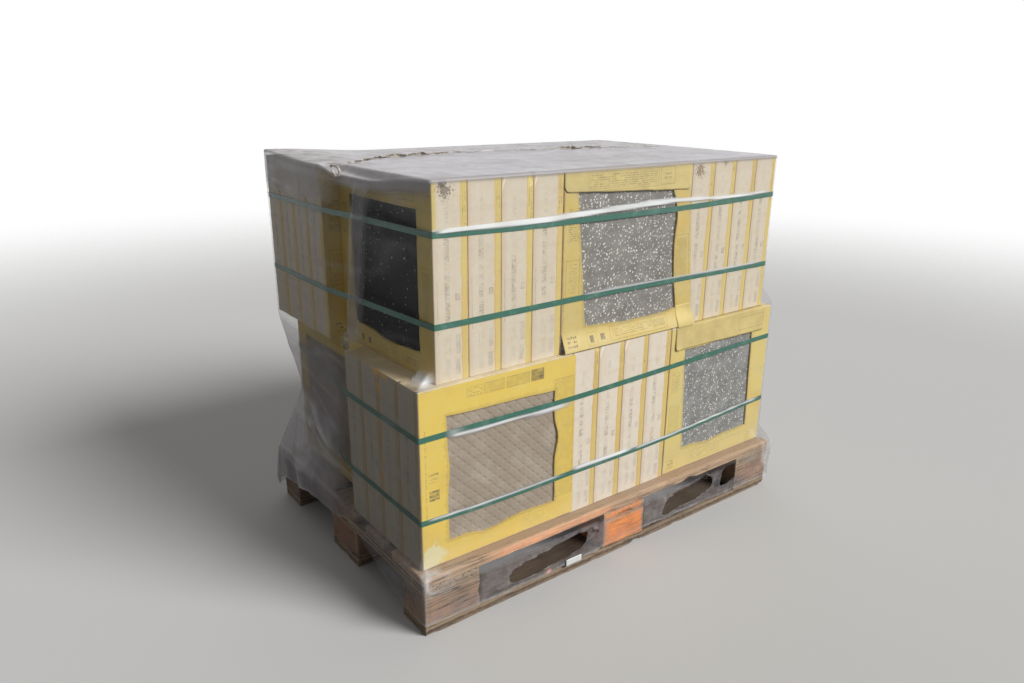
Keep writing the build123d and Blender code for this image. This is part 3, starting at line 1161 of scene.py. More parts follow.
@dataclass
class Timber:
    """One sawn and worn piece of the pallet, in the place of its node."""

    node: str
    finish: WornTimber
    seed: int
    step: float
    rounding: float = 0.0028
    chips: float = 0.007
    near: tuple[float, ...] = (0.0, 0.0012, 0.003, 0.006, 0.010)
    grain: Pair = (0.14, 0.006)
    grain_depth: float = 0.00035

    def lines(self, low: float, high: float) -> Array:
        """Where the mesh is cut along one way: close together near the ends, even between them."""
        near = np.array(self.near)
        inner = np.linspace(low + near[-1], high - near[-1], max(3, round((high - low) / self.step)))
        return np.unique(np.concatenate([low + near, inner, high - near]).round(6))

    def worn(self, points: Array, low: Array, high: Array) -> tuple[Array, Array]:
        """Rounds, chips and weathers points on a box's surface.

        Args:
            points: Points on the box.
            low: The box's low corner.
            high: The box's high corner.

        Returns:
            The moved points, and how near each is to an edge, from 0 to 1.
        """
        noise = SmoothNoise(self.seed)
        radius = self.rounding * (1 + 0.7 * noise.at(points, 0.09))[..., None]
        inner = np.clip(points, low + radius, high - radius)
        way = points - inner
        way = way / np.linalg.norm(way, axis=-1, keepdims=True)
        depth = np.sort(np.minimum(points - low, high - points), axis=-1)[..., 1]
        edge = 1 - blend_in(depth, 0.001, 0.014)
        chip = np.clip(noise.rough(points, (0.05, 0.05, 0.03)) - 0.28, 0.0, 1.0) * self.chips * 2.2 * edge
        drawn = np.full(3, self.grain[1])
        drawn[int(np.argmax(high - low))] = self.grain[0]
        grain = (noise.at(points, drawn) + 1) * self.grain_depth
        return inner + way * radius - way * (chip + grain)[..., None], edge

    def build(self) -> Piece:
        """Makes the timber and puts it in its node's place."""
        low, high = (np.array(corner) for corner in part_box(self.node))
        long_way = int(np.argmax(high - low))
        order = [long_way] + [way for way in range(3) if way != long_way]
        draft = MeshDraft(self.node + "_worn")
        cuts = [self.lines(low[way], high[way]) for way in range(3)]
        for way in range(3):
            first, second = ((way + 1) % 3, (way + 2) % 3)
            for side, end in enumerate((low, high)):
                across = cuts[first] if side else cuts[first][::-1]
                grid = np.empty((len(across), len(cuts[second]), 3))
                grid[..., way] = end[way]
                grid[..., first] = across[:, None]
                grid[..., second] = cuts[second][None, :]
                moved, edge = self.worn(grid, low, high)
                grain = (grid - low)[..., order] + self.seed * 0.37
                draft.add_grid(moved, point_marks={"edge": edge, "grain": grain})
        piece = draft.make(self.finish, join=0.00002, sharp=50.0)
        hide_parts(self.node)
        return piece


PLAIN = WornTimber()
LOW = WornTimber(
    title="timber_low", pale=(0.165, 0.112, 0.074), dark=(0.076, 0.051, 0.033), greyed=(0.130, 0.097, 0.070),
    rubbed=(0.42, 0.31, 0.205), grey_share=0.6,
)
SALMON = WornTimber(
    title="timber_salmon", pale=(0.47, 0.32, 0.18), dark=(0.29, 0.18, 0.10), greyed=(0.38, 0.265, 0.160),
    painted=1.0, paint=(0.95, 0.42, 0.20), dirt=(0.12, 0.080, 0.055), grey_share=0.7, flaking=0.30, wear=0.15,
    rubbed=(0.66, 0.43, 0.26), paint_from=-0.42, paint_to=-0.05, paint_depth=-0.3965, soiling=-0.6,
)
PEACH = WornTimber(
    title="timber_peach", painted=0.75, paint=(0.46, 0.255, 0.155), greyed=(0.15, 0.112, 0.085),
    grey_share=0.5, soiling=1.0,
)
ORANGE = WornTimber(
    title="timber_orange", painted=1.0, paint=(0.92, 0.30, 0.070), flaking=0.2, grey_share=0.2,
    dirt=(0.36, 0.14, 0.05), rubbed=(0.62, 0.36, 0.22),
)
REDDISH = WornTimber(title="timber_reddish", pale=(0.34, 0.19, 0.12), dark=(0.16, 0.08, 0.05))

PAINTED = {
    "block_front_left": PEACH,
    "block_front_middle": ORANGE,
    "block_front_right": PEACH,
    "block_back_left": REDDISH,
    "block_middle_left": REDDISH,
    "stringer_middle": ORANGE,
    "top_board_front": SALMON,
}


@dataclass
class Pallet:
    """The pallet: boards, cross boards, blocks, runners, and the nails that hold them."""

    nail_radius: float = 0.0042
    nail_sides: int = 10
    nail_rise: float = 0.0006
    nail_sunk: float = 0.0008
    nail_spread: float = 0.045
    nail_shift: float = 0.012
    nail_reach: float = 0.33
    nail_profile: tuple[Pair, ...] = ((1.0, -2.0), (1.0, 0.2), (0.8, 0.8), (0.4, 1.0), (0.02, 1.0))
    block_step: float = 0.010
    board_step: float = 0.013
    deck: tuple[str, ...] = ("front", "front_inner", "middle", "back_inner", "back")
    thirds: tuple[str, ...] = ("left", "middle", "right")
    depths: tuple[str, ...] = ("front", "middle", "back")

    def nodes(self) -> list[str]:
        """The names of all the pallet's pieces."""
        names = [f"top_board_{name}" for name in self.deck]
        names += [f"stringer_{name}" for name in self.thirds]
        names += [f"bottom_board_{name}" for name in self.depths]
        return names + [f"block_{depth}_{third}" for depth in self.depths for third in self.thirds]

    def nail_places(self) -> list[Triple]:
        """Where the nails' heads lie: three in a deck board over each cross board."""
        places = []
        for board, third, step in itertools.product(self.deck, self.thirds, (-1, 0, 1)):
            low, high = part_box(f"top_board_{board}")
            under_low, under_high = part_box(f"stringer_{third}")
            shift = self.nail_spread * step + self.nail_shift * (1 if step else -1)
            y = (low.y + high.y) / 2 + step * (high.y - low.y) * self.nail_reach
            places.append(((under_low.x + under_high.x) / 2 + shift, y, high.z - self.nail_sunk))
        return places

    def nails(self) -> Piece:
        """One mesh of all the nails' heads, each a low dome let into the wood."""
        draft = MeshDraft("nail_heads")
        turn = np.linspace(0, 2 * math.pi, self.nail_sides, endpoint=False)
        circle = np.stack([np.cos(turn), np.sin(turn), np.zeros_like(turn)], axis=-1) * self.nail_radius
        for place in self.nail_places():
            rings = [circle * reach + place + UP * rise * self.nail_rise for reach, rise in self.nail_profile]
            draft.add_grid(np.array(rings)[:, ::-1], closed=True)
        return draft.make(NailSteel(), sharp=60.0)

    def build(self) -> list[Piece]:
        """Makes every piece of timber and the nails."""
        made = []
        for number, node in enumerate(self.nodes()):
            finish = PAINTED.get(node, LOW if node.startswith("bottom") else PLAIN)
            step = self.block_step if node.startswith("block") else self.board_step
            made.append(Timber(node, finish, number + 11, step).build())
        return made + [self.nails()]


@dataclass(frozen=True)
class Block:
    """Four packs side by side: their place, and where their windows look."""

    layer: Layer
    row: Row
    column: Column

    @property
    def name(self) -> str:
        """The block's name, as its nodes have it."""
        return f"{self.layer.value}_{self.row.value}_{self.column.value}"

    @property
    def box(self) -> tuple[Vector, Vector]:
        """The low and high corners of the block's wraps."""
        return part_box("wraps_" + self.name)

    @property
    def facing(self) -> Facing:
        """Where the windows look: along the row's own side if the block is wider than it is deep."""
        if self.lengthwise:
            return Facing.FRONT if self.row is Row.FRONT else Facing.BACK
        return Facing.RIGHT if self.column is Column.RIGHT else Facing.LEFT

    @property
    def lengthwise(self) -> bool:
        """Whether the windows look to the front or the back."""
        low, high = self.box
        return high.x - low.x > high.y - low.y

    @property
    def axes(self) -> tuple[Array, Array, Array]:
        """The lower left corner of the first face seen from outside, the way right, and the way in."""
        return self.corner_of(*self.box)

    def corner_of(self, low: Vector, high: Vector) -> tuple[Array, Array, Array]:
        """The same for a box inside the block.

        Args:
            low: The box's low corner.
            high: The box's high corner.

        Returns:
            The corner, the way right and the way in.
        """
        right, inward = (np.array(way, float) for way in self.facing.value)
        corner = np.where(right + inward > 0, np.array(low), np.array(high))
        corner[2] = low.z
        return corner, right, inward


BLOCKS = [Block(*place) for place in itertools.product(Layer, Row, Column)]
LOWER_TOP = Block(Layer.LOWER, Row.FRONT, Column.LEFT).box[1].z
UPPER_FLOOR, UPPER_TOP = (corner.z for corner in Block(Layer.UPPER, Row.FRONT, Column.LEFT).box)
HALF_X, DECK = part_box("top_board_front")[1].x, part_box("top_board_front")[1].z
HALF_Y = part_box("top_board_back")[1].y


@dataclass(frozen=True)
class Course:
    """How a strap runs: its slope in the mesh of the film, and its rises along the front side."""

    node: str
    slope: float
    rises: tuple[Pair, ...]
    wide: float = 0.08

    @property
    def height(self) -> float:
        """The middle height of the strap."""
        low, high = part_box(self.node)
        return (low.z + high.z) / 2

    @property
    def lean(self) -> float:
        """The slope as a rise per metre."""
        return math.tan(math.radians(self.slope))

    def rise(self, x: Array, y: Array) -> Array:
        """How far the strap stands over its straight line: most in front, less and less along the sides."""
        return smoothed(x, self.rises, self.wide, 5) * blend_in(y, 0.0, -0.33)


COURSES = (
    Course("strap_top", 0.1, (
        (-0.53, -0.003), (-0.37, -0.008), (-0.20, -0.010), (0.17, -0.011), (0.38, -0.007), (0.56, -0.001),
    )),
    Course("strap_upper", -0.15, (
        (-0.53, -0.003), (-0.20, 0.001), (0.0, 0.003), (0.20, 0.001), (0.56, -0.001),
    )),
    Course("strap_lower", 0.5, (
        (-0.58, 0.0), (-0.38, -0.003), (-0.20, -0.008), (0.04, -0.005), (0.38, 0.002), (0.57, 0.005),
    )),
    Course("strap_bottom", 0.2, (
        (-0.58, 0.0), (-0.48, -0.006), (-0.38, -0.009), (-0.10, -0.008), (0.06, -0.010), (0.25, -0.005),
        (0.41, 0.004), (0.585, 0.012),
    )),
)


@dataclass(frozen=True)
class Lift:
    """A stretch of a window's edge that has torn back and stands off the tile."""

    side: int
    middle: float
    width: float
    back: float
    rise: float = 0.0010


@dataclass(frozen=True)
class FrameShape:
    """How the paper frame on a block's outer face differs from a plain one."""

    window: tuple[Pair, ...] = ((0.0, 0.0),) * 4
    overlap: tuple[Pair, ...] = ((0.0, 0.0),)
    bulge: float = 0.0
    bulge_height: float = 0.036
    lifts: tuple[Lift, ...] = ()

    def moved(self, across: Array, level: Array, width: float) -> tuple[Array, Array]:
        """How far a point of the frame reaches to the right and stands out.

        Args:
            across: The point's distance from the face's left edge.
            level: Its height over the face's lower edge.
            width: The width of the face.

        Returns:
            The two distances.
        """
        reach = blend_in(across, width - 0.055, width - 0.002)
        amount = along_line(level, self.overlap)
        lower = blend_in(level, self.bulge_height + 0.014, -0.004)
        return amount * reach, self.bulge * lower + 0.0006 * reach * (amount > 0)


FRAME_SHAPES = {
    "upper_front_left": FrameShape(lifts=(Lift(0, 0.55, 0.30, 0.0080, 0.0008),)),
    "upper_front_middle": FrameShape(
        window=((0.017, -0.001), (0.021, -0.004), (-0.006, -0.001), (-0.017, 0.0136)),
        overlap=((0.0, 0.036), (0.089, 0.028), (0.287, 0.005), (0.34, 0.0)),
        bulge=0.0160,
        lifts=(Lift(1, 0.78, 0.16, 0.0080, 0.0012), Lift(0, 0.62, 0.35, 0.0110)),
    ),
    "lower_front_left": FrameShape(
        window=((0.012, -0.004), (0.011, -0.006), (0.006, -0.016), (0.009, -0.005)),
        overlap=((0.0, 0.013), (0.418, 0.010)),
        lifts=(
            Lift(1, 0.58, 0.12, 0.0085, 0.0012), Lift(0, 0.34, 0.15, 0.0100), Lift(0, 0.70, 0.18, -0.0040),
            Lift(3, 0.42, 0.14, -0.0050),
        ),
    ),
    "lower_front_right": FrameShape(
        window=((0.014, 0.008), (-0.008, 0.005), (-0.020, -0.002), (-0.002, -0.005)),
        lifts=(Lift(0, 0.42, 0.17, 0.0095),),
    ),
}

# A darker copy of the pack edge, for the left wall (side 3) of blocks whose windows look front or back: its
# board, stripe and rim colours are painted shade; its tape and spots are stains.
SHADED_EDGE = PackEdge(
    title="pack_edge_shaded", board=(0.43, 0.40, 0.33), stripe=(0.36, 0.31, 0.20), rim=(0.32, 0.25, 0.15),
    stains=(Tape(1, -0.206, 0.250, -0.192, 0.555, (0.55, 0.35, 0.12), 0.5), *LEFT_WALL_SPOTS),
)


@dataclass(frozen=True)
class WrapSide:
    """One side of a wrap: 0 to 3 for bottom, right, top and left, of the pack of that number in its block."""

    side: int
    number: int
    origin: Array
    outer: Array
    window: Array
    flange: float
    shape: FrameShape


@dataclass
class PackWraps:
    """The card wraps of one block: each closed round four edges, with a window in both faces."""

    block: Block
    face: PrintedFace
    edge: PackEdge
    packs: int = 4
    gap: float = 0.0004
    sill: float = 0.056
    window: float = 0.300
    card: float = 0.0035
    seat: float = 0.0002
    lip: float = 0.0008
    corner: float = 0.0024
    tear: float = 0.0020
    tear_below: float = 0.0048
    curl: float = 0.0010
    dent: float = 0.0012
    crush: float = 0.0007
    fine_steps: int = 44
    plain_steps: int = 12
    rows: tuple[float, ...] = (1.0, 0.97, 0.88, 0.72, 0.5, 0.28, 0.1)

    def __post_init__(self) -> None:
        """Takes the block's place, and one pack's width, height and thickness."""
        self.first, self.right, self.inward = self.block.axes
        low, high = self.block.box
        span = high - low
        self.width, depth = (span.x, span.y) if self.block.lengthwise else (span.y, span.x)
        self.height = span.z
        self.thick = (depth - (self.packs - 1) * self.gap) / self.packs

    def sides(self, number: int) -> list[WrapSide]:
        """The four sides of a pack's wrap.

        Args:
            number: The pack's number in its block, from the outermost.

        Returns:
            The bottom, the right, the top and the left side.
        """
        shape = FrameShape() if number else FRAME_SHAPES.get(self.block.name, FrameShape())
        origin = self.first + self.inward * number * (self.thick + self.gap)
        along = np.linspace(0, 1, (self.plain_steps if number else self.fine_steps) + 1)[:, None]
        square = np.array(((0, 0), (1, 0), (1, 1), (0, 1)), float)
        outer = square * (self.width, self.height)
        inner = square * self.window + ((self.width - self.window) / 2, self.sill) + np.array(shape.window)
        sides = []
        for side in range(4):
            start, end, inner_start, inner_end = (
                line[k % 4] for line in (outer, inner) for k in (side, side + 1)
            )
            spanned = np.linalg.norm(np.cross(end - start, inner_start - start))
            flange = float(spanned / np.linalg.norm(end - start))
            outline = start + (end - start) * along
            window = inner_start + (inner_end - inner_start) * along
            sides.append(WrapSide(side, number, origin, outline, window, flange, shape))
        return sides

    def build(self) -> Piece:
        """Makes the block's wraps as one mesh."""
        draft = MeshDraft(f"card_{self.block.name}")
        for number in range(self.packs):
            for side in self.sides(number):
                self.wrap(draft, side)
        piece = draft.make(self.face, self.edge, PlainCard(), SHADED_EDGE, join=0.00002, sharp=50.0)
        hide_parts("wraps_" + self.block.name)
        return piece

    def wrap(self, draft: MeshDraft, part: WrapSide) -> None:
        """Adds one side of a pack's wrap: its front, its wall and its back.

        Args:
            draft: Where it is added.
            part: The side.
        """
        seed = (hash_of(self.block.name) + part.number * 37) % 97 / 97
        arc = np.radians((0, 30, 60, 90))
        face_inset = np.array([share * part.flange for share in self.rows] + [2 * self.corner, self.corner])
        face_depth = np.zeros(len(face_inset))
        lip_inset = np.array((part.flange, part.flange))
        lip_depth = np.array((self.card + self.seat, self.lip))
        fillet_inset = self.corner * (1 - np.sin(arc))
        fillet_depth = self.corner * (1 - np.cos(arc))
        wall_depth = np.linspace(self.corner, self.thick - self.corner, 7)
        front_inset = np.concatenate([lip_inset, face_inset])
        front_depth = np.concatenate([lip_depth, face_depth])
        wall_inset = np.concatenate([fillet_inset, np.zeros(5), fillet_inset[::-1]])
        wall_depth = np.concatenate([fillet_depth, wall_depth[1:-1], self.thick - fillet_depth[::-1]])
        upright = part.side in (1, 3)
        # Side 3 of a lengthwise block gets slot 3, the pack edge with painted shade.
        bare = part.side == 3 and self.block.lengthwise
        for region, inset, depth in (
            ("front", front_inset, front_depth),
            ("wall", wall_inset, wall_depth),
            ("back", front_inset[::-1], self.thick - front_depth[::-1]),
        ):
            flat, points, edge = self.bent(part, region == "front" and part.number == 0, inset, depth)
            place, slot = flat, 0
            if region == "back":
                place = np.stack([self.width - flat[..., 0], flat[..., 1]], axis=-1)
            elif region == "wall":
                across = depth if part.side == 1 else self.thick - depth
                level = np.broadcast_to(across[None, :], flat.shape[:2])
                place = np.stack([level, flat[..., 1]] if upright else [flat[..., 0], level], axis=-1)
                slot = (3 if bare else 1) if upright else 2
            draft.add_grid(points, place, slot, face_marks={"pack": seed}, point_marks={"edge": edge})

    def bent(self, part: WrapSide, outermost: bool, inset: Array, depth: Array) -> tuple[Array, Array, Array]:
        """Bends one region of a side out of the flat, with torn edges, curls and dents.

        Args:
            part: The side.
            outermost: True for the face that looks out of the load.
            inset: How far in from the outline each row lies.
            depth: How far behind the front face each row lies.

        Returns:
            The place in the face's plane, the points in space, and how near each is to a worn edge.
        """
        noise = SmoothNoise(hash_of(self.block.name) % 1000 + part.number)
        share = inset[None, :] / part.flange
        reach_in = (part.window - part.outer)[:, None]
        rest = part.outer[:, None] + reach_in * share[..., None]
        spot = self.placed(part, rest, depth[None, :])
        steps = len(part.outer)
        ends = np.minimum(np.linspace(0, 1, steps), np.linspace(1, 0, steps))
        free = blend_in(ends, 0.0, 0.08)[:, None]
        wave = noise.at(spot, 0.075) * 0.8 + noise.at(spot, 0.022) * 0.16 + noise.at(spot, 0.006) * 0.05
        pull = (self.tear if part.side else self.tear_below) * wave * share**3 * free
        raised = self.curl * (0.6 + 0.6 * noise.at(spot, 0.06)) * share**4 * free
        heights = [course.height + course.rise(spot[..., 0], spot[..., 1]) for course in COURSES]
        away = np.min([np.abs(spot[..., 2] - height) for height in heights], axis=0)
        pressed = blend_in(away, 0.024, 0.012)
        along = np.linspace(0, 1, steps)[:, None]
        for lift in part.shape.lifts:
            if lift.side == part.side:
                reach = hump(along, lift.middle, lift.width)
                pull = pull - lift.back * reach * share**2 * free
                raised = raised + lift.rise * reach * share**2
        flat = part.outer[:, None] + reach_in * (share + pull / part.flange)[..., None]
        moved = np.broadcast_to(depth[None, :], flat.shape[:2]).copy()
        dents = self.dent * np.clip(noise.at(spot, 0.11) + 0.35, 0, 1)
        dents = dents * blend_in(depth, 0.0, self.thick / 3)[None, :]
        dents = dents * blend_in(self.thick - depth, 0.0, self.thick / 3)[None, :] * (inset == 0)[None, :]
        crush = self.crush * np.clip(noise.at(spot, 0.03), 0, 1)
        inside = np.array(((0, 1), (-1, 0), (0, -1), (1, 0)), float)[part.side]
        flat_moved = flat + inside * (dents + crush * (inset < 2 * self.corner)[None, :] * free)[..., None]
        if outermost:
            moved = moved - raised * (1 - pressed) * (depth[None, :] < self.corner)
            shift, stand = part.shape.moved(flat[..., 0], flat[..., 1], self.width)
            flat_moved[..., 0] += shift
            moved -= stand
        bends = 0.5 + 0.5 * hump(depth, 0.0, 0.004) + 0.5 * hump(depth, self.thick, 0.004)
        fold = hump(inset, 0.0, 0.004)[None, :] * bends
        edge = np.maximum(np.broadcast_to(fold, flat.shape[:2]), share**8 * np.ones_like(wave))
        return flat, self.placed(part, flat_moved, moved), edge

    def placed(self, part: WrapSide, flat: Array, depth: Array) -> Array:
        """Where points of a wrap's plane lie in space, at a depth behind the front face."""
        return part.origin + flat[..., :1] * self.right + flat[..., 1:] * UP + self.inward * depth[..., None]


def hash_of(name: str) -> int:
    """A whole number for a name, the same on every run."""
    return sum((place + 1) * ord(letter) for place, letter in enumerate(name))


@dataclass
class PaperFlap:
    """A loose flap of paper on a pack's outer face, folded over the pack's upper edge or glued flat."""

    name: str
    block: Block
    left: float
    right: float
    bottom: float
    top: float
    finish: PlainPaper
    slant: float = 0.0
    corner: float = 0.010
    stand: float = 0.0007
    curl: float = 0.0010
    fold: float = 0.0
    overhang: float = 0.0
    steps: tuple[int, int] = (60, 16)
    seed: int = 5
    thick: float = 0.0004

    def build(self) -> Piece:
        """Makes the flap."""
        origin, right, inward = self.block.axes
        along = np.linspace(self.left, self.right, self.steps[0] + 1)
        share = np.linspace(0, 1, self.steps[1] + 1)
        lean = self.slant * (along - self.left) / (self.right - self.left)
        turned = 1 - np.minimum(along - self.left, self.right - along) / self.corner
        turned = np.clip(turned, 0, 1)
        base = self.bottom + lean + self.corner * (1 - np.sqrt(np.clip(1 - turned**2, 0, 1)))
        level = base[:, None] + (self.top - base)[:, None] * share[None, :]
        across = np.broadcast_to(along[:, None], level.shape)
        flat = np.stack([across, level], axis=-1)
        noise = SmoothNoise(self.seed)
        rest = origin + flat[..., :1] * right + flat[..., 1:] * UP
        below = 1 - share[None, :]
        ragged = 0.0012 * noise.at(rest, 0.018) * below**4
        lifted = self.stand + self.curl * (1 + noise.at(rest, 0.05)) * below**3
        lifted = lifted + self.curl * hump(across, self.left, 0.02) * below
        lifted = lifted + self.overhang * blend_in(level, 0.050, -0.004)
        points = rest - inward * lifted[..., None] + UP * ragged[..., None]
        if self.fold:
            rows = []
            for turn in np.radians((30, 60, 90)):
                shift = inward * self.stand * (1 - math.cos(turn)) * 2 + UP * self.stand * math.sin(turn)
                rows.append(points[:, -1] + shift)
            rows.append(rows[-1] + inward * self.fold)
            points = np.concatenate([points, np.stack(rows, axis=1)], axis=1)
            flat = np.concatenate([flat, np.stack([flat[:, -1]] * len(rows), axis=1)], axis=1)
        draft = MeshDraft(self.name)
        draft.add_grid(points, flat, face_marks={"pack": 0.3})
        return thickened(draft.make(self.finish, sharp=60.0), self.thick, 0.0)


@dataclass
class TileStacks:
    """The tiles in the packs: what stone each block holds, and the one relief tile that shows."""

    relief_node: str = "tiles_lower_front_left"
    relief_block: Block = Block(Layer.LOWER, Row.FRONT, Column.LEFT)
    packs: int = 4
    tile: float = 0.400
    tile_thick: float = 0.038
    cushion: float = 0.0195
    relief: float = 0.0015
    round_edge: float = 0.0010
    mesh_step: float = 0.0021
    grey: Terrazzo = Terrazzo()
    blue: Terrazzo = Terrazzo(
        title="terrazzo_blue", ground=(0.20, 0.20, 0.19), cloud=(0.275, 0.275, 0.26), chip=0.0100, share=0.32
    )
    black: Terrazzo = Terrazzo(
        title="terrazzo_black", ground=(0.010, 0.011, 0.013), cloud=(0.017, 0.019, 0.022),
        white=(0.60, 0.59, 0.56), dark=(0.008, 0.008, 0.009), tan=(0.20, 0.18, 0.15),
        chip=0.026, share=0.125, shine=0.12, roughness=0.34,
    )

    def finish_of(self, block: Block) -> Finish:
        """The stone in a block."""
        if block.layer is Layer.LOWER:
            return self.blue if block.column is Column.RIGHT else QuiltedStone()
        return self.black if block.column is Column.LEFT else self.grey

    def dress(self) -> int:
        """Gives the tiles that stay as they are their stone, and returns how many blocks that is."""
        plain = [block for block in BLOCKS if "tiles_" + block.name != self.relief_node]
        for block in plain:
            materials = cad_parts["tiles_" + block.name].data.materials
            materials.clear()
            materials.append(self.finish_of(block).material())
        return len(plain)

    def cushions(self, across: Array, level: Array) -> Array:
        """The height of the relief, from 0 in its grooves to 1 on its cushions."""
        first = np.abs(np.sin(np.pi * (across + level) / self.cushion / math.sqrt(2)))
        second = np.abs(np.sin(np.pi * (across - level) / self.cushion / math.sqrt(2)))
        broken = blend_in(first, 0.42, 0.0) * (0.25 + 0.75 * blend_in(second, 0.45, 0.85))
        return 1 - np.maximum(broken, 0.30 * blend_in(second, 0.35, 0.0))

    def relief_tiles(self) -> Piece:
        """The tiles of the block whose outer tile has a quilted face."""
        draft = MeshDraft("relief_tiles")
        low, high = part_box(self.relief_node)
        corner, right, inward = self.relief_block.corner_of(low, high)
        depth = abs(float(np.array(high - low) @ inward))
        pitch = (depth - 2 * self.tile_thick) / (self.packs - 1)
        for pack, tile in itertools.product(range(self.packs), range(2)):
            origin = corner + inward * (pack * pitch + tile * self.tile_thick)
            self.slab(draft, origin, right, inward, carved=pack == 0 and tile == 0)
        piece = draft.make(QuiltedStone(), join=0.00001, sharp=50.0)
        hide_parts(self.relief_node)
        return piece

    def slab(self, draft: MeshDraft, origin: Array, right: Array, inward: Array, carved: bool) -> None:
        """Adds one tile with rounded edges.

        Args:
            draft: Where it is added.
            origin: The lower left corner of the tile's face.
            right: The way right along the face.
            inward: The way into the block.
            carved: True for the face with the relief.
        """
        lip = self.round_edge
        step = self.mesh_step if carved else self.tile / 8
        inner = np.linspace(lip, self.tile - lip, round((self.tile - 2 * lip) / step) + 1)
        cuts = np.concatenate([[0.0], inner, [self.tile]])
        across, level = np.meshgrid(cuts, cuts, indexing="ij")
        border = np.minimum(np.minimum(across, self.tile - across), np.minimum(level, self.tile - level))
        high = self.cushions(across, level) if carved else np.ones_like(across)
        sunk = np.where(border < lip, lip * 0.3, 0.0) + (1 - high) * self.relief * (border > 0)
        sunk = sunk + np.where(border == 0, lip * 0.7, 0.0)
        front = origin + across[..., None] * right + level[..., None] * UP + sunk[..., None] * inward
        draft.add_grid(front, point_marks={"hollow": 1 - high})
        loop = np.concatenate([front[:, 0], front[-1, 1:], front[::-1, -1][1:], front[0, ::-1][1:-1]])
        behind = loop + inward * (self.tile_thick - ((loop - origin) @ inward))[:, None]
        plain = {"hollow": np.zeros((2, len(loop)))}
        draft.add_grid(np.stack([loop, behind]), closed=True, point_marks=plain)
        rise = UP * self.tile
        corners = np.array([[origin + side, origin + side + rise] for side in (0 * right, right * self.tile)])
        draft.add_grid((corners + inward * self.tile_thick)[::-1], point_marks={"hollow": np.zeros((2, 2))})


@dataclass(frozen=True)
class HighlightStreak:
    """A painted highlight line beside a strap in front, where the film stands off: its places, rises and half
    widths.
    """

    course: Course
    strength: float
    line: tuple[Triple, ...]


class Walls:
    """The film's smooth walls, levels by columns, with how far each point looks to each side of the load."""

    def __init__(self, rest: Array) -> None:
        """Takes the points, and finds the level way out of the load at each."""
        self.rest = rest
        self.x, self.y, self.z = rest[..., 0], rest[..., 1], rest[..., 2]
        along = np.roll(rest, -2, axis=1) - np.roll(rest, 2, axis=1)
        way = np.stack([along[..., 1], -along[..., 0], np.zeros(rest.shape[:2])], axis=-1)
        self.way = way / np.linalg.norm(way, axis=-1, keepdims=True)
        self.front = blend_in(-self.way[..., 1], 0.5, 0.9)
        self.left = blend_in(-self.way[..., 0], 0.5, 0.9)
        self.back = blend_in(self.way[..., 1], 0.5, 0.9)
        self.right = blend_in(self.way[..., 0], 0.5, 0.9)


@dataclass(frozen=True)
class Fan:
    """Folds that run out from a pinched point of the film, low on one side of the load."""

    facing: Facing
    along: float
    height: float
    reach: float
    stand: float
    spread: float = 0.13
    seed: int = 1

    def folds(self, walls: Walls) -> Array:
        """How far the folds stand out.

        Args:
            walls: The smooth walls.

        Returns:
            A height in metres for each point.
        """
        right, inward = (np.array(direction, float) for direction in self.facing.value)
        here = blend_in(-(walls.way @ inward), 0.3, 0.8)
        beside = walls.rest @ right - self.along
        below = np.maximum(self.height - walls.z, 0.0)
        away = np.hypot(beside, below)
        turn = np.arctan2(below, beside)
        place = np.stack([turn / self.spread, away / 0.5, np.zeros(away.shape)], axis=-1)
        crest = SmoothNoise(self.seed).ridges(place, 1.0, 2.2)
        crest += 0.35 * SmoothNoise(self.seed + 1).ridges(place, 0.37, 3)
        grow = blend_in(away, 0.02, 0.16) * blend_in(np.abs(beside), self.reach, self.reach * 0.6)
        return self.stand * crest * grow * here * blend_in(below, 0.0, 0.06)


@dataclass(frozen=True)
class Slot:
    """A torn opening in the skirt on the front side: its middle, half sizes and tilt."""

    x: float
    z: float
    half_length: float
    half_height: float
    tilt: float


TOP, UPPER, LOWER, BOTTOM = COURSES
OUT = np.array(((-1, -1), (1, -1), (1, 0), (1, 1), (-1, 1), (-1, 0)), float)


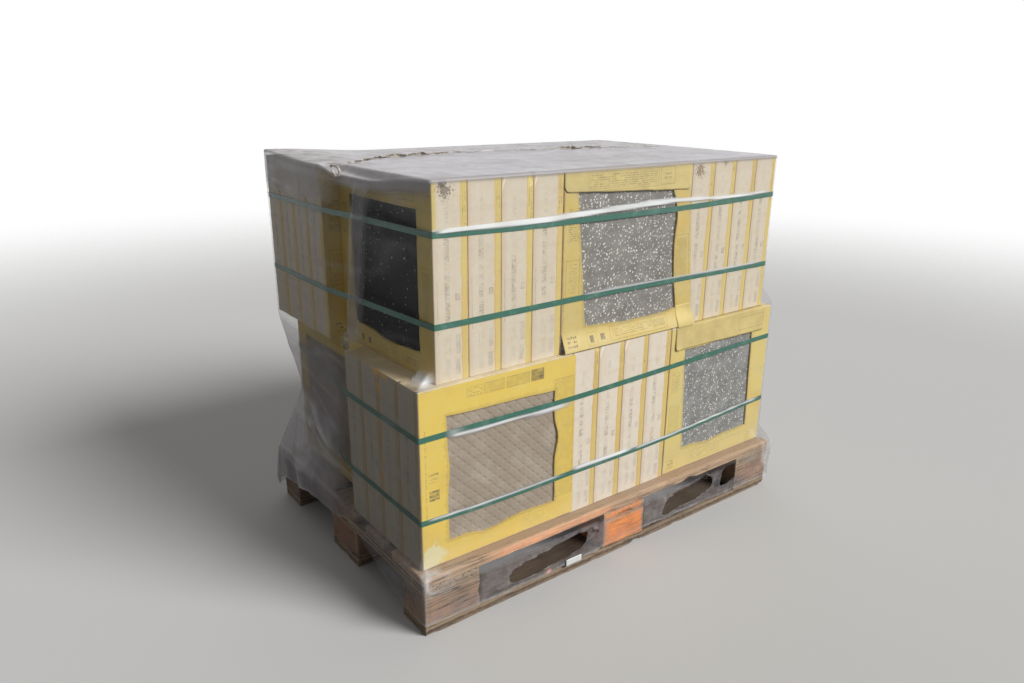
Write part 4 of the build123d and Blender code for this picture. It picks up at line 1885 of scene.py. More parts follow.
@dataclass
class FilmHood:
    """The shrink film: one sheet over the roof, walls and the pallet's edge, with its welded seam on top."""

    gap: float = 0.0029
    skirt: float = 0.0045
    roof: float = UPPER_TOP + 0.0012
    roof_edge: float = 0.005
    corner_length: float = 0.006
    corner_steps: int = 5
    edge_steps: tuple[int, ...] = (150, 44, 44, 118, 52, 60)
    even_levels: int = 96
    strap_steps: tuple[float, ...] = (
        -0.013, -0.009, -0.0062, -0.003, 0, 0.003, 0.0062, 0.009, 0.013, 0.017, 0.021,
    )
    ledge_rise: float = 0.050
    tucks: tuple[float, ...] = (0.09, 0.09, 0.09, 0.13, 0.205, 0.12)
    shoulders: tuple[float, ...] = (0.035, 0.045, 0.070, 0.090, 0.185, 0.110)
    flare: Pair = (0.000, 0.002)
    seam_half: float = 0.50
    seam_span: Pair = (-0.548, 0.545)
    seam_height: float = 0.0150
    loop_at: Pair = (-0.5720, -0.018)
    loop_thick: float = 0.0027
    lift_at: Pair = (-0.574, 0.402)
    lift_rise: float = 0.013
    lift_reach: float = 0.30
    dips: tuple[Pair, ...] = (
        (-0.352, 0.004), (-0.256, 0.010), (-0.141, 0.018), (-0.050, 0.016),
        (0.005, 0.014), (0.045, 0.004), (0.066, 0.0),
    )
    seam_points: tuple[Pair, ...] = (
        (-0.560, -0.010), (-0.515, 0.028), (-0.463, 0.070), (-0.395, 0.118), (-0.294, 0.138), (-0.183, 0.160),
        (-0.03, 0.155), (0.064, 0.140), (0.174, 0.108), (0.30, 0.092), (0.466, 0.060), (0.60, 0.005),
    )
    # Painted highlight lines beside the straps, each along one strap's course.
    streaks: tuple[HighlightStreak, ...] = (
        HighlightStreak(TOP, 1.0, (
            (-0.535, 0.005, 0.0030), (-0.49, 0.0075, 0.0036), (-0.35, 0.0105, 0.0052),
            (-0.235, 0.0118, 0.0056), (-0.11, 0.0160, 0.0052), (-0.02, 0.0190, 0.0056),
            (0.07, 0.0215, 0.0062), (0.165, 0.0225, 0.0046), (0.27, 0.0180, 0.0036),
            (0.33, 0.0135, 0.0034), (0.44, 0.0105, 0.0028), (0.56, 0.0090, 0.0020),
        )),
        HighlightStreak(UPPER, 0.75, ((-0.14, 0.0080, 0.0018), (0.55, 0.0080, 0.0018))),
        HighlightStreak(LOWER, 1.0, ((-0.52, -0.0075, 0.0026), (-0.33, -0.0082, 0.0032), (-0.15, -0.0090, 0.0036))),
        HighlightStreak(LOWER, 0.55, ((-0.53, 0.000, 0.0070), (-0.45, 0.0, 0.0070))),
        HighlightStreak(BOTTOM, 0.85, ((-0.58, 0.0055, 0.0020), (-0.17, 0.0060, 0.0020))),
        HighlightStreak(BOTTOM, 1.0, ((-0.17, 0.0100, 0.0040), (0.07, 0.0095, 0.0040))),
        HighlightStreak(BOTTOM, 0.90, ((0.04, 0.0060, 0.0024), (0.59, 0.0055, 0.0022))),
    )
    slots: tuple[Slot, ...] = (
        Slot(-0.268, 0.0725, 0.124, 0.0240, 0.060),
        Slot(0.238, 0.081, 0.094, 0.027, 0.09),
        Slot(0.430, 0.094, 0.045, 0.025, 0.20),
    )
    squareness: float = 5.0
    fans: tuple[Fan, ...] = (
        Fan(Facing.LEFT, -0.385, 0.345, 0.46, 0.0070, spread=0.21, seed=91),
        Fan(Facing.BACK, 0.530, 0.300, 0.34, 0.0070, seed=93),
        Fan(Facing.BACK, -0.555, 0.260, 0.30, 0.0055, seed=95),
        Fan(Facing.RIGHT, 0.385, 0.270, 0.34, 0.0060, seed=97),
        Fan(Facing.RIGHT, -0.360, 0.230, 0.18, 0.0040, seed=99),
    )
    front_hem: tuple[Pair, ...] = (
        (-0.61, 0.030), (-0.40, 0.028), (-0.12, 0.031), (0.0, 0.040),
        (0.10, 0.036), (0.34, 0.034), (0.61, 0.030),
    )
    left_hem: tuple[Pair, ...] = (
        (-0.41, 0.030), (-0.34, 0.036), (-0.273, 0.048), (-0.17, 0.084), (-0.037, 0.119),
        (0.15, 0.097), (0.35, 0.082), (0.40, 0.052),
    )
    right_hem: tuple[Pair, ...] = (
        (-0.41, 0.030), (-0.31, 0.040), (-0.26, 0.096), (-0.10, 0.103), (-0.06, 0.062),
        (0.06, 0.055), (0.11, 0.101), (0.26, 0.098), (0.31, 0.045), (0.41, 0.033),
    )
    back_hem: tuple[Pair, ...] = (
        (-0.61, 0.034), (-0.47, 0.042), (-0.42, 0.112), (-0.12, 0.121), (-0.07, 0.060),
        (0.07, 0.064), (0.12, 0.118), (0.42, 0.110), (0.47, 0.044), (0.61, 0.034),
    )
    bunches: tuple[tuple[float, float, float, float], ...] = (
        (-0.60, 0.135, 0.078, 0.045), (0.60, 0.13, 0.095, 0.10), (0.105, 0.090, 0.045, 0.035),
    )
    band: tuple[Pair, ...] = ((0.56, -0.048), (0.83, -0.088), (0.98, -0.120))
    label_x: Pair = (-0.204, -0.154)
    label_z: Pair = (0.026, 0.045)
    label_y: float = -0.4088
    cut: Pair = (4.0, 1.36)
    cut_area: float = 4.75

    def outline(self, layer: Layer) -> Array:
        """The tight line round a layer.

        Args:
            layer: The layer.

        Returns:
            Its six corners, counter-clockwise from the front left.
        """
        front_left, front_right, back_left, back_right = (
            Block(layer, row, column).box for row in Row for column in (Column.LEFT, Column.RIGHT)
        )
        front_out = front_left[0].x < back_left[0].x
        left_y = (front_left[1] if front_out else back_left[0]).y
        right_y = (front_right[1] if front_out else back_right[0]).y
        return np.array((
            (front_left[0].x, front_left[0].y),
            (front_right[1].x, front_left[0].y),
            (max(front_right[1].x, back_right[1].x), right_y),
            (back_right[1].x, back_left[1].y),
            (back_left[0].x, back_left[1].y),
            (min(front_left[0].x, back_left[0].x), left_y),
        ))

    def plan(self, levels: Array) -> Array:
        """The line round the load at some heights, with rounded corners, as levels by columns by 2.

        Args:
            levels: The heights.

        Returns:
            The points, going round the load from the front left corner.
        """
        upper, lower = self.outline(Layer.UPPER), self.outline(Layer.LOWER)
        most, least = np.maximum(lower, upper), np.minimum(lower, upper)
        cover = np.where(OUT > 0, most, np.where(OUT < 0, least, lower))
        skirt = OUT * (HALF_X, HALF_Y) + OUT * self.skirt
        flared = skirt.copy()
        flared[4] += self.flare
        low, wide, high = (line + OUT * self.gap for line in (lower, cover, upper))
        lines = np.stack([skirt, skirt, flared, flared, low, low, wide, wide, high, high])
        corners = np.empty((len(levels), 6, 2))
        for corner, way in itertools.product(range(6), range(2)):
            heights = (
                0.0, 0.060, 0.125, DECK + 0.001, DECK + self.shoulders[corner],
                UPPER_FLOOR - self.tucks[corner], UPPER_FLOOR - 0.006, UPPER_FLOOR + 0.006,
                UPPER_FLOOR + self.ledge_rise, UPPER_TOP + 0.1,
            )
            corners[:, corner, way] = np.interp(levels, heights, lines[:, corner, way])
        before, after = (np.roll(corners, step, axis=1) - corners for step in (1, -1))
        first = corners + before / np.linalg.norm(before, axis=-1, keepdims=True) * self.corner_length
        last = corners + after / np.linalg.norm(after, axis=-1, keepdims=True) * self.corner_length
        columns = []
        for corner in range(6):
            for share in np.linspace(0, 1, self.corner_steps):
                arc = (1 - share) ** 2 * first[:, corner] + 2 * share * (1 - share) * corners[:, corner]
                columns.append(arc + share**2 * last[:, corner])
            for share in np.linspace(0, 1, self.edge_steps[corner] + 2)[1:-1]:
                columns.append(last[:, corner] * (1 - share) + first[:, (corner + 1) % 6] * share)
        return np.stack(columns, axis=1)

    def levels(self) -> tuple[Array, Array, Array]:
        """The walls' levels from the top down to the deck: heights, how far each is drawn in, and slopes."""
        top = self.roof
        arc = np.radians((70, 45, 20, 0))
        upward = COURSES[::-1]
        near = [course.height + step for course in upward for step in self.strap_steps]
        even = np.linspace(DECK + 0.002, top - self.roof_edge - 0.004, self.even_levels)
        clear = [height for height in even if min(abs(height - other) for other in near) > 0.004]
        rounded = top - self.roof_edge * (1 - np.sin(arc))
        heights = np.concatenate([rounded, np.sort(np.array(near + clear))[::-1]])
        inset = np.concatenate([self.roof_edge * (1 - np.cos(arc)), np.zeros(len(near) + len(clear))])
        leans = [course.lean for course in upward]
        slope = np.interp(heights, [DECK, *(course.height for course in upward), top], [0.0, *leans, 0.0])
        return heights, inset, slope

    def hem_heights(self, plan: Array) -> Array:
        """How low the film hangs.

        Args:
            plan: The line round the deck, columns by 2.

        Returns:
            The hem's height at each column.
        """
        x, y = plan[:, 0], plan[:, 1]
        heights = np.where(y > HALF_Y - 0.001, along_line(x, self.back_hem), along_line(x, self.front_hem))
        side_y = np.abs(y) < HALF_Y
        heights = np.where(side_y & (x > HALF_X - 0.001), along_line(y, self.right_hem), heights)
        heights = np.where(side_y & (x < 0.001 - HALF_X), along_line(y, self.left_hem), heights)
        spots = np.concatenate([plan, np.zeros((len(plan), 1))], axis=1)
        ragged = SmoothNoise(77).rough(spots, 0.055) * 0.0035 + SmoothNoise(78).at(spots, 0.008) * 0.0006
        return heights + ragged

    def walls(self) -> tuple[Array, dict[str, Array]]:
        """The film from its upper edge to its hem, with wrinkles and marks."""
        heights, inset, slope = self.levels()
        plan = self.plan(heights)
        flat = np.concatenate([plan, np.broadcast_to(heights[:, None, None], (*plan.shape[:2], 1))], axis=-1)
        flat[..., 2] += plan[..., 0] * slope[:, None]
        shares = np.linspace(0, 1, 25)[1:]
        hem = self.hem_heights(self.plan(np.array((DECK,)))[0])
        skirt_z = DECK - shares[:, None] * (DECK - hem[None, :])
        skirt = np.concatenate([self.plan(skirt_z.mean(axis=1)), skirt_z[..., None]], axis=-1)
        walls = Walls(np.concatenate([flat, skirt]))
        inset = np.concatenate([inset, np.zeros(len(shares))])
        out, marks = self.wrinkles(walls)
        points = walls.rest + walls.way * (out - inset[:, None])[..., None]
        points[..., 2] += self.lift(points) * blend_in(points[..., 2], UPPER_TOP - 0.07, UPPER_TOP)
        return points, marks

    def lift(self, points: Array) -> Array:
        """How far the film stands up at the roof's far left corner, less its dip over the left side's notch.

        Args:
            points: Points of the film.

        Returns:
            A height in metres for each point.
        """
        away = np.hypot(points[..., 0] - self.lift_at[0], points[..., 1] - self.lift_at[1])
        notch = Block(Layer.UPPER, Row.FRONT, Column.LEFT).box[0].x
        clear = blend_in(points[..., 0], notch - 0.003, notch - 0.020)
        dip = along_line(points[..., 1], self.dips) * clear
        return self.lift_rise * blend_in(away, self.lift_reach, 0.0) - dip

    def wrinkles(self, walls: Walls) -> tuple[Array, dict[str, Array]]:
        """How far the film stands out, how milky it is, and its painted highlights, dust and painted shade.

        Args:
            walls: The smooth walls.

        Returns:
            The distance out, and the marks: haze, the painted highlights on streaks and creases, and the dust
                with painted shade.
        """
        rest, x, y, z = walls.rest, walls.x, walls.y, walls.z
        front, left, far = walls.front, walls.left, walls.back + walls.right
        loose = 0.3 * front + 0.9 * left + 0.8 * far
        upright = SmoothNoise(32).rough(rest, (0.040, 0.040, 0.75))
        fine = SmoothNoise(33).at(rest, (0.013, 0.013, 0.40))
        level_creases = SmoothNoise(31).ridges(rest, (0.45, 0.45, 0.030), 14)
        broad = np.clip(SmoothNoise(34).rough(rest, 0.16) + 0.2, 0, 1)
        out = (0.0010 * broad + 0.0011 * np.clip(upright + 0.3, 0, 1.2) + 0.0003 * fine) * loose
        out += 0.0006 * level_creases * (0.4 * front + left)
        gathers = SmoothNoise(35).at(rest, (0.034, 0.034, 0.90))
        gathers += 0.4 * SmoothNoise(36).at(rest, (0.014, 0.014, 0.40))
        skirt = blend_in(z, DECK + 0.10, DECK - 0.03)
        out += np.clip(gathers + 0.4, 0, 1.4) * skirt * (0.0016 * front + 0.0028 * left + 0.0035 * far)
        folds = sum(fan.folds(walls) for fan in self.fans)
        out += folds
        crumple = SmoothNoise(38).ridges(rest, (0.032, 0.032, 0.045), 2.2)
        bunched = np.zeros(x.shape)
        for bunch_x, bunch_z, reach, tall in self.bunches:
            bunched += np.exp(-((x - bunch_x) ** 2 + (y + 0.40) ** 2) / reach**2) * hump(z, bunch_z, tall)
        out += 0.0065 * bunched * crumple
        for course in COURSES[::-1]:
            out += 0.0010 * hump(z, course.height + x * course.lean + course.rise(x, y), 0.010)
        band_y = along_line(z, self.band)
        band = left * blend_in(z, UPPER_FLOOR - 0.02, UPPER_FLOOR + 0.05)
        band = band * blend_in(z, UPPER_TOP - 0.006, UPPER_TOP - 0.035)
        fold = band * blend_in(np.abs(y - band_y), 0.031, 0.019)
        rims = band * (hump(y, band_y - 0.026, 0.0075) + hump(y, band_y + 0.026, 0.0085))
        out += 0.0045 * fold + 0.0020 * rims
        # Painted highlights on the fans' fold crests, on level creases and on crumples make up the crease
        # mark below.
        crests = 0.7 * np.clip(folds / 0.0085, 0, 1.2) ** 4
        hem_highlight = np.zeros(x.shape)
        hem_highlight[-2:] = 1.0
        # The streak mark holds painted highlights: the lines beside the straps, the crumpled bunches, the
        # rims of the left side's fold band and the hem.
        marks = {
            "haze": self.haze(walls, fold),
            "streak_highlight": self.painted_highlights(walls) + 0.60 * bunched * crumple**3 + 0.32 * rims + 0.30 * hem_highlight,
            "crease": np.clip(0.5 * level_creases * (0.3 + left) + crests + 0.6 * crumple * bunched, 0, 1.2),
            "dust_and_shade": self.dirt(walls),
        }
        return out, marks

    @staticmethod
    def haze(walls: Walls, fold: Array) -> Array:
        """How milky the walls are: nearly clear in front, greyer on the other sides and low down.

        Args:
            walls: The smooth walls.
            fold: How much of the left side's fold lies at each point.

        Returns:
            A share from 0 to 0.9 for each point.
        """
        y, z, front, left, far = walls.y, walls.z, walls.front, walls.left, walls.back + walls.right
        on_left = 0.16 * blend_in(y, -0.02, 0.10) + 0.12 * blend_in(z, UPPER_FLOOR, UPPER_FLOOR - 0.03)
        on_left += 0.40 * blend_in(z, TOP.height + 0.005, TOP.height + 0.03) * blend_in(y, -0.05, 0.10)
        on_left += 0.20 * blend_in(y, -0.05, 0.06) * blend_in(z, UPPER_FLOOR, UPPER_FLOOR - 0.06)
        on_left += 0.35 * blend_in(z, UPPER_TOP - 0.060, UPPER_TOP) * blend_in(y, 0.0, -0.08)
        on_left += 0.50 * blend_in(z, UPPER_TOP - 0.034, UPPER_TOP - 0.014) * blend_in(y, 0.05, -0.05)
        on_left += 0.16 * blend_in(z, DECK + 0.26, DECK + 0.12) * blend_in(y, 0.05, 0.26)
        value = 0.01 * front + 0.015 * left + 0.11 * far + left * on_left
        value += 0.65 * blend_in(z, UPPER_TOP - 0.009, UPPER_TOP - 0.001) + 0.40 * fold
        value += blend_in(z, DECK + 0.16, DECK) * (0.05 * front + 0.05 * left + 0.12 * far)
        return np.clip(value, 0, 0.9)

    def painted_highlights(self, walls: Walls) -> Array:
        """The painted highlight lines beside the straps on the front side, and the painted glint at the
        ledge.

        Args:
            walls: The smooth walls.

        Returns:
            A share from 0 to 1 for each point.
        """
        x, y, z = walls.x, walls.y, walls.z
        glint = hump(x, -0.566, 0.022) * hump(z, LOWER_TOP + 0.018, 0.014) * (y < -0.33)
        total = 0.85 * glint
        shown = walls.front * (0.90 + 0.10 * SmoothNoise(41).at(walls.rest, (0.05, 0.05, 0.5)))
        for line in self.streaks:
            along, rises, halves = zip(*line.line)
            middle = line.course.height + x * line.course.lean + line.course.rise(x, y)
            off = np.abs(z - middle - np.interp(x, along, rises))
            half = np.interp(x, along, halves)
            ends = blend_in(x, along[0], along[0] + 0.03) * blend_in(x, along[-1], along[-1] - 0.06)
            lit = line.strength * ends * blend_in(off, half + 0.0022, half - 0.0006)
            total = np.maximum(total, lit * shown)
        return total

    @staticmethod
    def dirt(walls: Walls) -> Array:
        """Dust low on the skirt, and painted shade where the film spans the fork openings in front, standing
        in for the dark openings behind it.

        Args:
            walls: The smooth walls.

        Returns:
            A share from 0 to 1 for each point.
        """
        z, front = walls.z, walls.front
        # Painted shade: the film over the fork openings is made dark and nearly opaque.
        span = blend_in(np.abs(np.abs(walls.x) - 0.26), 0.205, 0.185) * front * blend_in(z, 0.122, 0.110)
        patchy = 0.75 + 0.25 * SmoothNoise(42).rough(walls.rest, 0.08)
        value = 0.55 * blend_in(z, 0.10, 0.03) + 0.2 * walls.left * blend_in(z, 0.2, 0.1)
        return np.clip(np.maximum(value * (0.5 + 0.4 * front), 0.92 * span * patchy), 0, 1)

    def seam_line(self, x: Array) -> Array:
        """The y of the seam on the roof, smoothed."""
        return smoothed(x, self.seam_points, 0.03, 7)

    def roof_sheet(self, edge: Array) -> tuple[Array, dict[str, Array]]:
        """The roof, from the seam out to the walls' upper edge.

        Args:
            edge: The walls' first row.

        Returns:
            The roof's points, and its marks.
        """
        shares = 1 - np.linspace(1, 0, 38)[1:, None, None] ** 1.5
        target_x = np.clip(edge[:, 0], -self.seam_half, self.seam_half)
        target = np.stack([target_x, self.seam_line(target_x)], axis=-1)
        rows = np.full((len(shares), len(edge), 3), self.roof)
        rows[..., :2] = edge[:, :2] * (1 - shares) + target * shares
        x, y = rows[..., 0], rows[..., 1]
        border = np.linalg.norm(rows[..., :2] - edge[None, :, :2], axis=-1)
        pulls = SmoothNoise(51).ridges(rows, (0.05, 0.35, 1.0), 5) * blend_in(border, 0.30, 0.0)
        ripples = SmoothNoise(52).ridges(rows, (0.30, 0.035, 1.0), 6)
        broad = SmoothNoise(53).rough(rows, 0.20)
        seam_near = hump(y, self.seam_line(x), 0.05)
        crumple = SmoothNoise(54).ridges(rows, 0.03, 3) * seam_near
        rise = 0.0009 * np.clip(broad + 0.3, 0, 1) + 0.0003 * ripples + 0.0005 * pulls + 0.0024 * crumple
        rows[..., 2] += rise * blend_in(border, 0.0, 0.03) + 0.0004 + self.lift(rows)
        rows[..., 2] -= (1 - blend_in(border, 0.0, 0.006)) * 0.0004
        near_left = blend_in(x, -0.40, -0.56)
        dust_and_shade = 0.30 * seam_near * blend_in(SmoothNoise(55).at(rows, 0.05), 0.0, 0.6) + 0.30 * near_left
        dust_and_shade += 0.75 * blend_in(y - self.seam_line(x), -0.01, 0.05) * (0.65 + 0.35 * broad)
        dust_and_shade += 0.50 * hump(x, 0.10, 0.30) * hump(y, -0.17, 0.14) * (0.8 + 0.2 * broad)
        glint = 0.5 * hump(x, -0.575, 0.012) * hump(y, 0.06, 0.02)
        # On the roof the streak and crease marks are painted highlights: on the crumples by the seam, at the
        # glint, and along the ripples and pulls.
        marks = {
            "haze": np.clip(0.95 + 0.05 * broad - 0.06 * near_left, 0, 1),
            "streak_highlight": 0.25 * crumple * blend_in(broad, -0.2, 0.4) + glint,
            "crease": np.clip(0.25 * ripples + 0.3 * pulls, 0, 1),
            "dust_and_shade": np.clip(dust_and_shade, 0, 1),
        }
        return rows, marks

    def torn(self, points: Array) -> tuple[Array, Array]:
        """Opens the torn slots on the front side.

        Args:
            points: The walls' points.

        Returns:
            The points, with those near a slot moved to its rim, and whether each point stays.
        """
        points = points.copy()
        stays = np.ones(points.shape[:2], bool)
        x, y, z = points[..., 0], points[..., 1], points[..., 2]
        front = (y < -0.395) & (z < 0.14)
        grown = 1 + SmoothNoise(61).rough(points, 0.045) * 0.34
        for slot in self.slots:
            across = x - slot.x
            level = z - slot.z - across * slot.tilt
            sides = np.abs(across / slot.half_length) ** self.squareness
            reach = (sides + np.abs(level / slot.half_height) ** self.squareness) ** (1 / self.squareness)
            size = reach * grown
            stretch = 1 / grown / np.maximum(reach, 0.3)
            stays &= ~(front & (size < 0.80))
            near = front & (size < 1) & (size >= 0.80)
            moved = slot.z + across * stretch * slot.tilt + level * stretch
            rim = front & (size < 1.22)
            points[..., 0] = np.where(near, slot.x + across * stretch, points[..., 0])
            points[..., 2] = np.where(near, moved, points[..., 2])
            points[..., 1] -= np.where(rim, hump(size, 1.02, 0.10), 0.0) * 0.0035
        return points, stays

    def build(self) -> Piece:
        """Makes the film as one sheet."""
        walls, wall_marks = self.walls()
        roof, roof_marks = self.roof_sheet(walls[0])
        walls, stays = self.torn(walls)
        points = np.concatenate([roof[::-1], walls])
        keep = np.concatenate([np.ones(roof.shape[:2], bool), stays])
        marks = {name: np.concatenate([roof_marks[name][::-1], wall_marks[name]]) for name in wall_marks}
        draft = MeshDraft("shrink_film_hood")
        draft.add_grid(points, closed=True, keep=keep, point_marks=marks)
        piece = draft.make(ShrinkFilm(), sharp=180.0)
        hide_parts("film_hood")
        return piece

    def seam(self) -> Piece:
        """The welded seam: a crumpled fin that lies over to one side, with a loop at its left end."""
        x = np.linspace(*self.seam_span, 520)[:, None]
        share = np.linspace(0, 1, 9)[None, :]
        y = self.seam_line(x)
        line = np.stack([x, y, np.zeros(x.shape)], axis=-1)
        tall = 0.35 + 0.65 * np.clip(hump(x, -0.36, 0.17) + 0.8 * hump(x, 0.22, 0.12), 0, 1)
        height = self.seam_height * tall * (0.70 + 0.5 * SmoothNoise(71).rough(line, 0.018))
        lean = 0.85 + 0.60 * SmoothNoise(72).at(line, 0.03)
        spot = np.stack(np.broadcast_arrays(x, y, share * 0.03), axis=-1)
        jumble = SmoothNoise(73).rough(spot, (0.012, 0.012, 0.010))
        turned = share * lean + 0.5 * jumble * share
        across = height * share * np.sin(turned) + 0.0035 * jumble * share
        level = height * share * np.clip(np.cos(turned), 0.12, 1) + 0.0025 * np.abs(jumble) * share
        wander = 0.003 * SmoothNoise(74).at(spot, 0.02) * share
        dirty = hump(x, -0.40, 0.10) + 0.9 * hump(x, -0.22, 0.10) + 0.8 * hump(x, 0.24, 0.07) + 0.12
        dust_and_shade = np.clip(dirty, 0, 1) * (0.7 + 0.3 * share)
        draft = MeshDraft("welded_seam")
        fin = np.stack([x + wander, y - across, self.roof + 0.0012 + level], axis=-1)
        draft.add_grid(fin, point_marks={"dust_and_shade": dust_and_shade})
        turn = np.linspace(0.3, 2 * math.pi - 0.2, 48)[:, None]
        tube = np.linspace(0, 2 * math.pi, 7)[None, :-1]
        thick, middle = self.loop_thick, (*self.loop_at, self.roof - 0.009)
        wide = thick * np.cos(tube)
        ring = np.stack([
            middle[0] - 0.002 * np.sin(turn * 2) + thick * np.sin(tube),
            middle[1] + 0.020 * np.cos(turn) + np.cos(turn) * wide,
            middle[2] + 0.011 * np.sin(turn) + 0.004 * np.cos(turn) + np.sin(turn) * wide,
        ], axis=-1)
        draft.add_grid(ring, closed=True, point_marks={"dust_and_shade": np.full(ring.shape[:2], 0.5)})
        piece = draft.make(SeamFilm(), sharp=60.0)
        return piece

    def label(self) -> Piece:
        """The small white label on the skirt, below the first slot."""
        cuts = (np.linspace(*self.label_x, 12), np.linspace(*self.label_z, 6))
        across, level = np.meshgrid(*cuts, indexing="ij")
        bend = 0.0006 * SmoothNoise(81).at(np.stack([across, level, level], axis=-1), 0.02)
        draft = MeshDraft("skirt_label")
        draft.add_grid(np.stack([across, self.label_y + bend, level], axis=-1))
        return thickened(draft.make(PlainPaper("white_label", (0.74, 0.74, 0.72))), 0.0003, -1.0)


@dataclass
class Straps:
    """The four straps: each its node's band, let sag or rise a little along the front side."""

    cut_step: float = 0.03
    cut_margin: float = 0.01

    def build(self) -> list[Piece]:
        """Makes the four bands and gives them the embossed finish."""
        return [self.band(course) for course in COURSES]

    def band(self, course: Course) -> Piece:
        """One band, cut into short lengths and moved up or down.

        Args:
            course: How the strap runs.

        Returns:
            The band.
        """
        work = bmesh.new()
        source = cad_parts[course.node]
        work.from_mesh(source.data)
        work.transform(source.matrix_world)
        low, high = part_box(course.node)
        for way, normal in enumerate((Vector((1, 0, 0)), Vector((0, 1, 0)))):
            for place in np.arange(low[way] + self.cut_margin, high[way] - self.cut_margin, self.cut_step):
                geometry = work.verts[:] + work.edges[:] + work.faces[:]
                bmesh.ops.bisect_plane(work, geom=geometry, plane_co=normal * float(place), plane_no=normal)
        for vert in work.verts:
            vert.co.z += float(course.rise(np.array(vert.co.x), np.array(vert.co.y)))
        mesh = bpy.data.meshes.new(course.node + "_band")
        work.to_mesh(mesh)
        work.free()
        mesh.materials.append(Strapping().material())
        piece = linked(course.node + "_band", mesh)
        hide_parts(course.node)
        return piece


@dataclass(frozen=True)
class StudioFloor(Finish):
    """The plain floor, which fades into the white behind it and throws little light back on the load."""

    title: str = "studio_floor"
    colour: Triple = (0.56, 0.555, 0.545)
    bounce: Triple = (0.17, 0.168, 0.165)
    fade: Pair = (2.3, 6.5)
    roughness: float = 0.9

    def dress(self, sheet: NodeSheet) -> None:
        """Lays the colour that the camera sees, the one that the light sees, and the fading."""
        surface = sheet.surface
        surface.inputs["Roughness"].default_value = self.roughness
        seen = sheet.add("ShaderNodeLightPath").outputs["Is Camera Ray"]
        sheet.put(surface.inputs["Base Color"], sheet.mix(seen, self.bounce, self.colour))
        away = sheet.vector("LENGTH", sheet.object_place())
        sheet.put(surface.inputs["Alpha"], sheet.ramp(away, *self.fade, 1.0, 0.0))


@dataclass(frozen=True)
class Lamp:
    """A broad far lamp: where it stands, its power and how wide it is in degrees."""

    name: str
    place: Triple
    power: float
    angle: float
    glossy: bool = True

    def build(self) -> None:
        """Sets up the lamp."""
        light = bpy.data.lights.new(self.name, "SUN")
        light.energy = self.power
        light.angle = math.radians(self.angle)
        lamp = linked(self.name, light)
        lamp.rotation_euler = (-Vector(self.place)).to_track_quat("-Z", "Y").to_euler()
        lamp.visible_glossy = self.glossy


@dataclass
class Studio:
    """The floor, the light and the camera."""

    place: Triple = (-1.3096, -1.6475, 1.1451)
    angles: Triple = (52.988, 17.924, 0.397)
    focus: float = 778.0
    image_width: float = 1024.0
    sensor: float = 36.0
    clip_end: float = 60.0
    floor_half: float = 9.0
    fill: float = 0.15
    lamps: tuple[Lamp, ...] = (
        Lamp("key", (0.45, -0.80, 0.62), 3.65, 28.0),
        Lamp("behind", (0.30, 0.92, 0.30), 0.80, 70.0, glossy=False),
    )

    def floor(self) -> None:
        """A pale plain floor."""
        half = (-self.floor_half, self.floor_half)
        across, level = np.meshgrid(half, half, indexing="ij")
        draft = MeshDraft("studio_floor")
        draft.add_grid(np.stack([across, level, np.zeros((2, 2))], axis=-1))
        draft.make(StudioFloor())

    def world(self) -> None:
        """White to the camera, and a soft dim light on the object."""
        world = bpy.data.worlds.new("studio")
        bpy.context.scene.world = world
        world.use_nodes = True
        sheet = NodeSheet(world.node_tree)
        background = world.node_tree.nodes["Background"]
        ray = sheet.add("ShaderNodeLightPath").outputs
        seen = sheet.most(ray["Is Camera Ray"], ray["Is Transmission Ray"])
        seen = sheet.most(seen, ray["Is Glossy Ray"])
        sheet.put(background.inputs["Color"], (1.0, 1.0, 1.0, 1.0))
        sheet.put(background.inputs["Strength"], sheet.most(seen, self.fill))

    def camera(self) -> None:
        """The camera at the photograph's place and angle."""
        yaw, pitch, roll = (math.radians(angle) for angle in self.angles)
        forward = Vector((math.cos(pitch) * math.cos(yaw), math.cos(pitch) * math.sin(yaw), -math.sin(pitch)))
        right = Vector((math.sin(yaw), -math.cos(yaw), 0.0))
        up = right.cross(forward)
        tilted_right = right * math.cos(roll) + up * math.sin(roll)
        tilted_up = up * math.cos(roll) - right * math.sin(roll)
        data = bpy.data.cameras.new("camera")
        data.sensor_width = self.sensor
        data.lens = self.focus / self.image_width * self.sensor
        data.clip_end = self.clip_end
        camera = linked("camera", data)
        turn = Matrix((tilted_right, tilted_up, -forward)).transposed()
        camera.matrix_world = Matrix.Translation(self.place) @ turn.to_4x4()
        bpy.context.scene.camera = camera

    def build(self) -> None:
        """Sets up the whole studio."""
        self.floor()
        self.world()
        for lamp in self.lamps:
            lamp.build()
        self.camera()
        bpy.context.scene.view_settings.view_transform = "Standard"


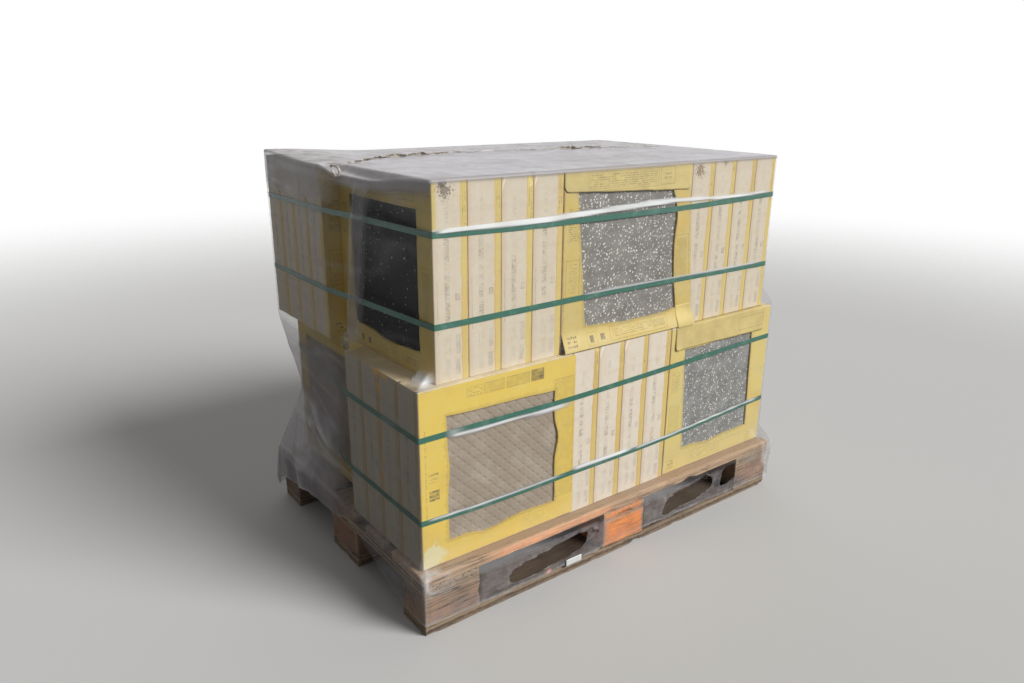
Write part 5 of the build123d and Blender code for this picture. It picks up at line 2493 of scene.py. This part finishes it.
@dataclass
class StrappedLoad:
    """The whole load on its pallet."""

    pale_face: PrintedFace = PrintedFace()
    strong_face: PrintedFace = PrintedFace(
        title="printed_face_strong", paper=(0.765, 0.55, 0.100), faded=(0.77, 0.61, 0.20),
        prints=STRONG_PRINTS,
    )
    cool_face: PrintedFace = PrintedFace(
        title="printed_face_cool", paper=(0.71, 0.56, 0.185), prints=COOL_PRINTS
    )
    upper_edge: PackEdge = PackEdge(stains=(Tape(0, -0.531, 0.886, -0.5215, 0.976), *UPPER_SPOTS))
    lower_edge: PackEdge = PackEdge(
        title="pack_edge_lower", board=(0.75, 0.675, 0.56), stripe=(0.66, 0.51, 0.16)
    )
    printed_flap: PlainPaper = PlainPaper("flap_printed", (0.68, 0.545, 0.22), prints=FACE_PRINTS[:4])
    plain_flap: PlainPaper = PlainPaper(
        "flap_plain", (0.69, 0.545, 0.215), prints=(Printing(FRAME, 0.275, 0.366, 0.384, 0.402, 0.4),)
    )
    pale_flap: PlainPaper = PlainPaper("flap_pale", (0.70, 0.55, 0.19))

    def wraps_of(self, block: Block) -> PackWraps:
        """The wraps of a block.

        Args:
            block: The block.

        Returns:
            Its wraps, with the finishes of its place in the load.
        """
        if block.layer is Layer.UPPER:
            return PackWraps(block, self.pale_face, self.upper_edge)
        face = self.cool_face if block.column is Column.RIGHT else self.strong_face
        return PackWraps(block, face, self.lower_edge)

    def flaps(self) -> list[PaperFlap]:
        """The loose paper on the front side."""
        upper = Block(Layer.UPPER, Row.FRONT, Column.MIDDLE)
        lower = Block(Layer.LOWER, Row.FRONT, Column.RIGHT)
        return [
            PaperFlap(
                "flap_upper", upper, 0.000, 0.412, 0.3710, 0.4172, self.printed_flap,
                slant=-0.020, corner=0.012, fold=0.03,
            ),
            PaperFlap(
                "flap_lower", lower, 0.017, 0.389, 0.3550, 0.4172, self.plain_flap,
                slant=-0.004, corner=0.006, curl=0.0014, seed=6, fold=0.02,
            ),
            PaperFlap(
                "flap_side", upper, 0.386, 0.444, -0.002, 0.056, self.pale_flap,
                corner=0.002, curl=0.0003, overhang=0.0162, steps=(16, 18), seed=7,
            ),
        ]

    def build(self) -> None:
        """Builds every piece, puts it on its body and reports it."""
        pieces = Pallet().build()
        pieces += [self.wraps_of(block).build() for block in BLOCKS]
        pieces += [flap.build() for flap in self.flaps()]
        tiles = TileStacks()
        LOG.info("stone given to %d blocks", tiles.dress())
        pieces.append(tiles.relief_tiles())
        pieces += Straps().build()
        hood = FilmHood()
        pieces += [hood.build(), hood.seam(), hood.label()]
        for piece in pieces:
            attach(piece, ROOT)
            LOG.info("%s: %d faces", piece.name, len(piece.data.polygons))


def main() -> None:
    """Builds the studio and the load."""
    logging.basicConfig(level=logging.INFO, format="%(message)s")
    Studio().build()
    StrappedLoad().build()


if __name__ == "__main__":
    main()
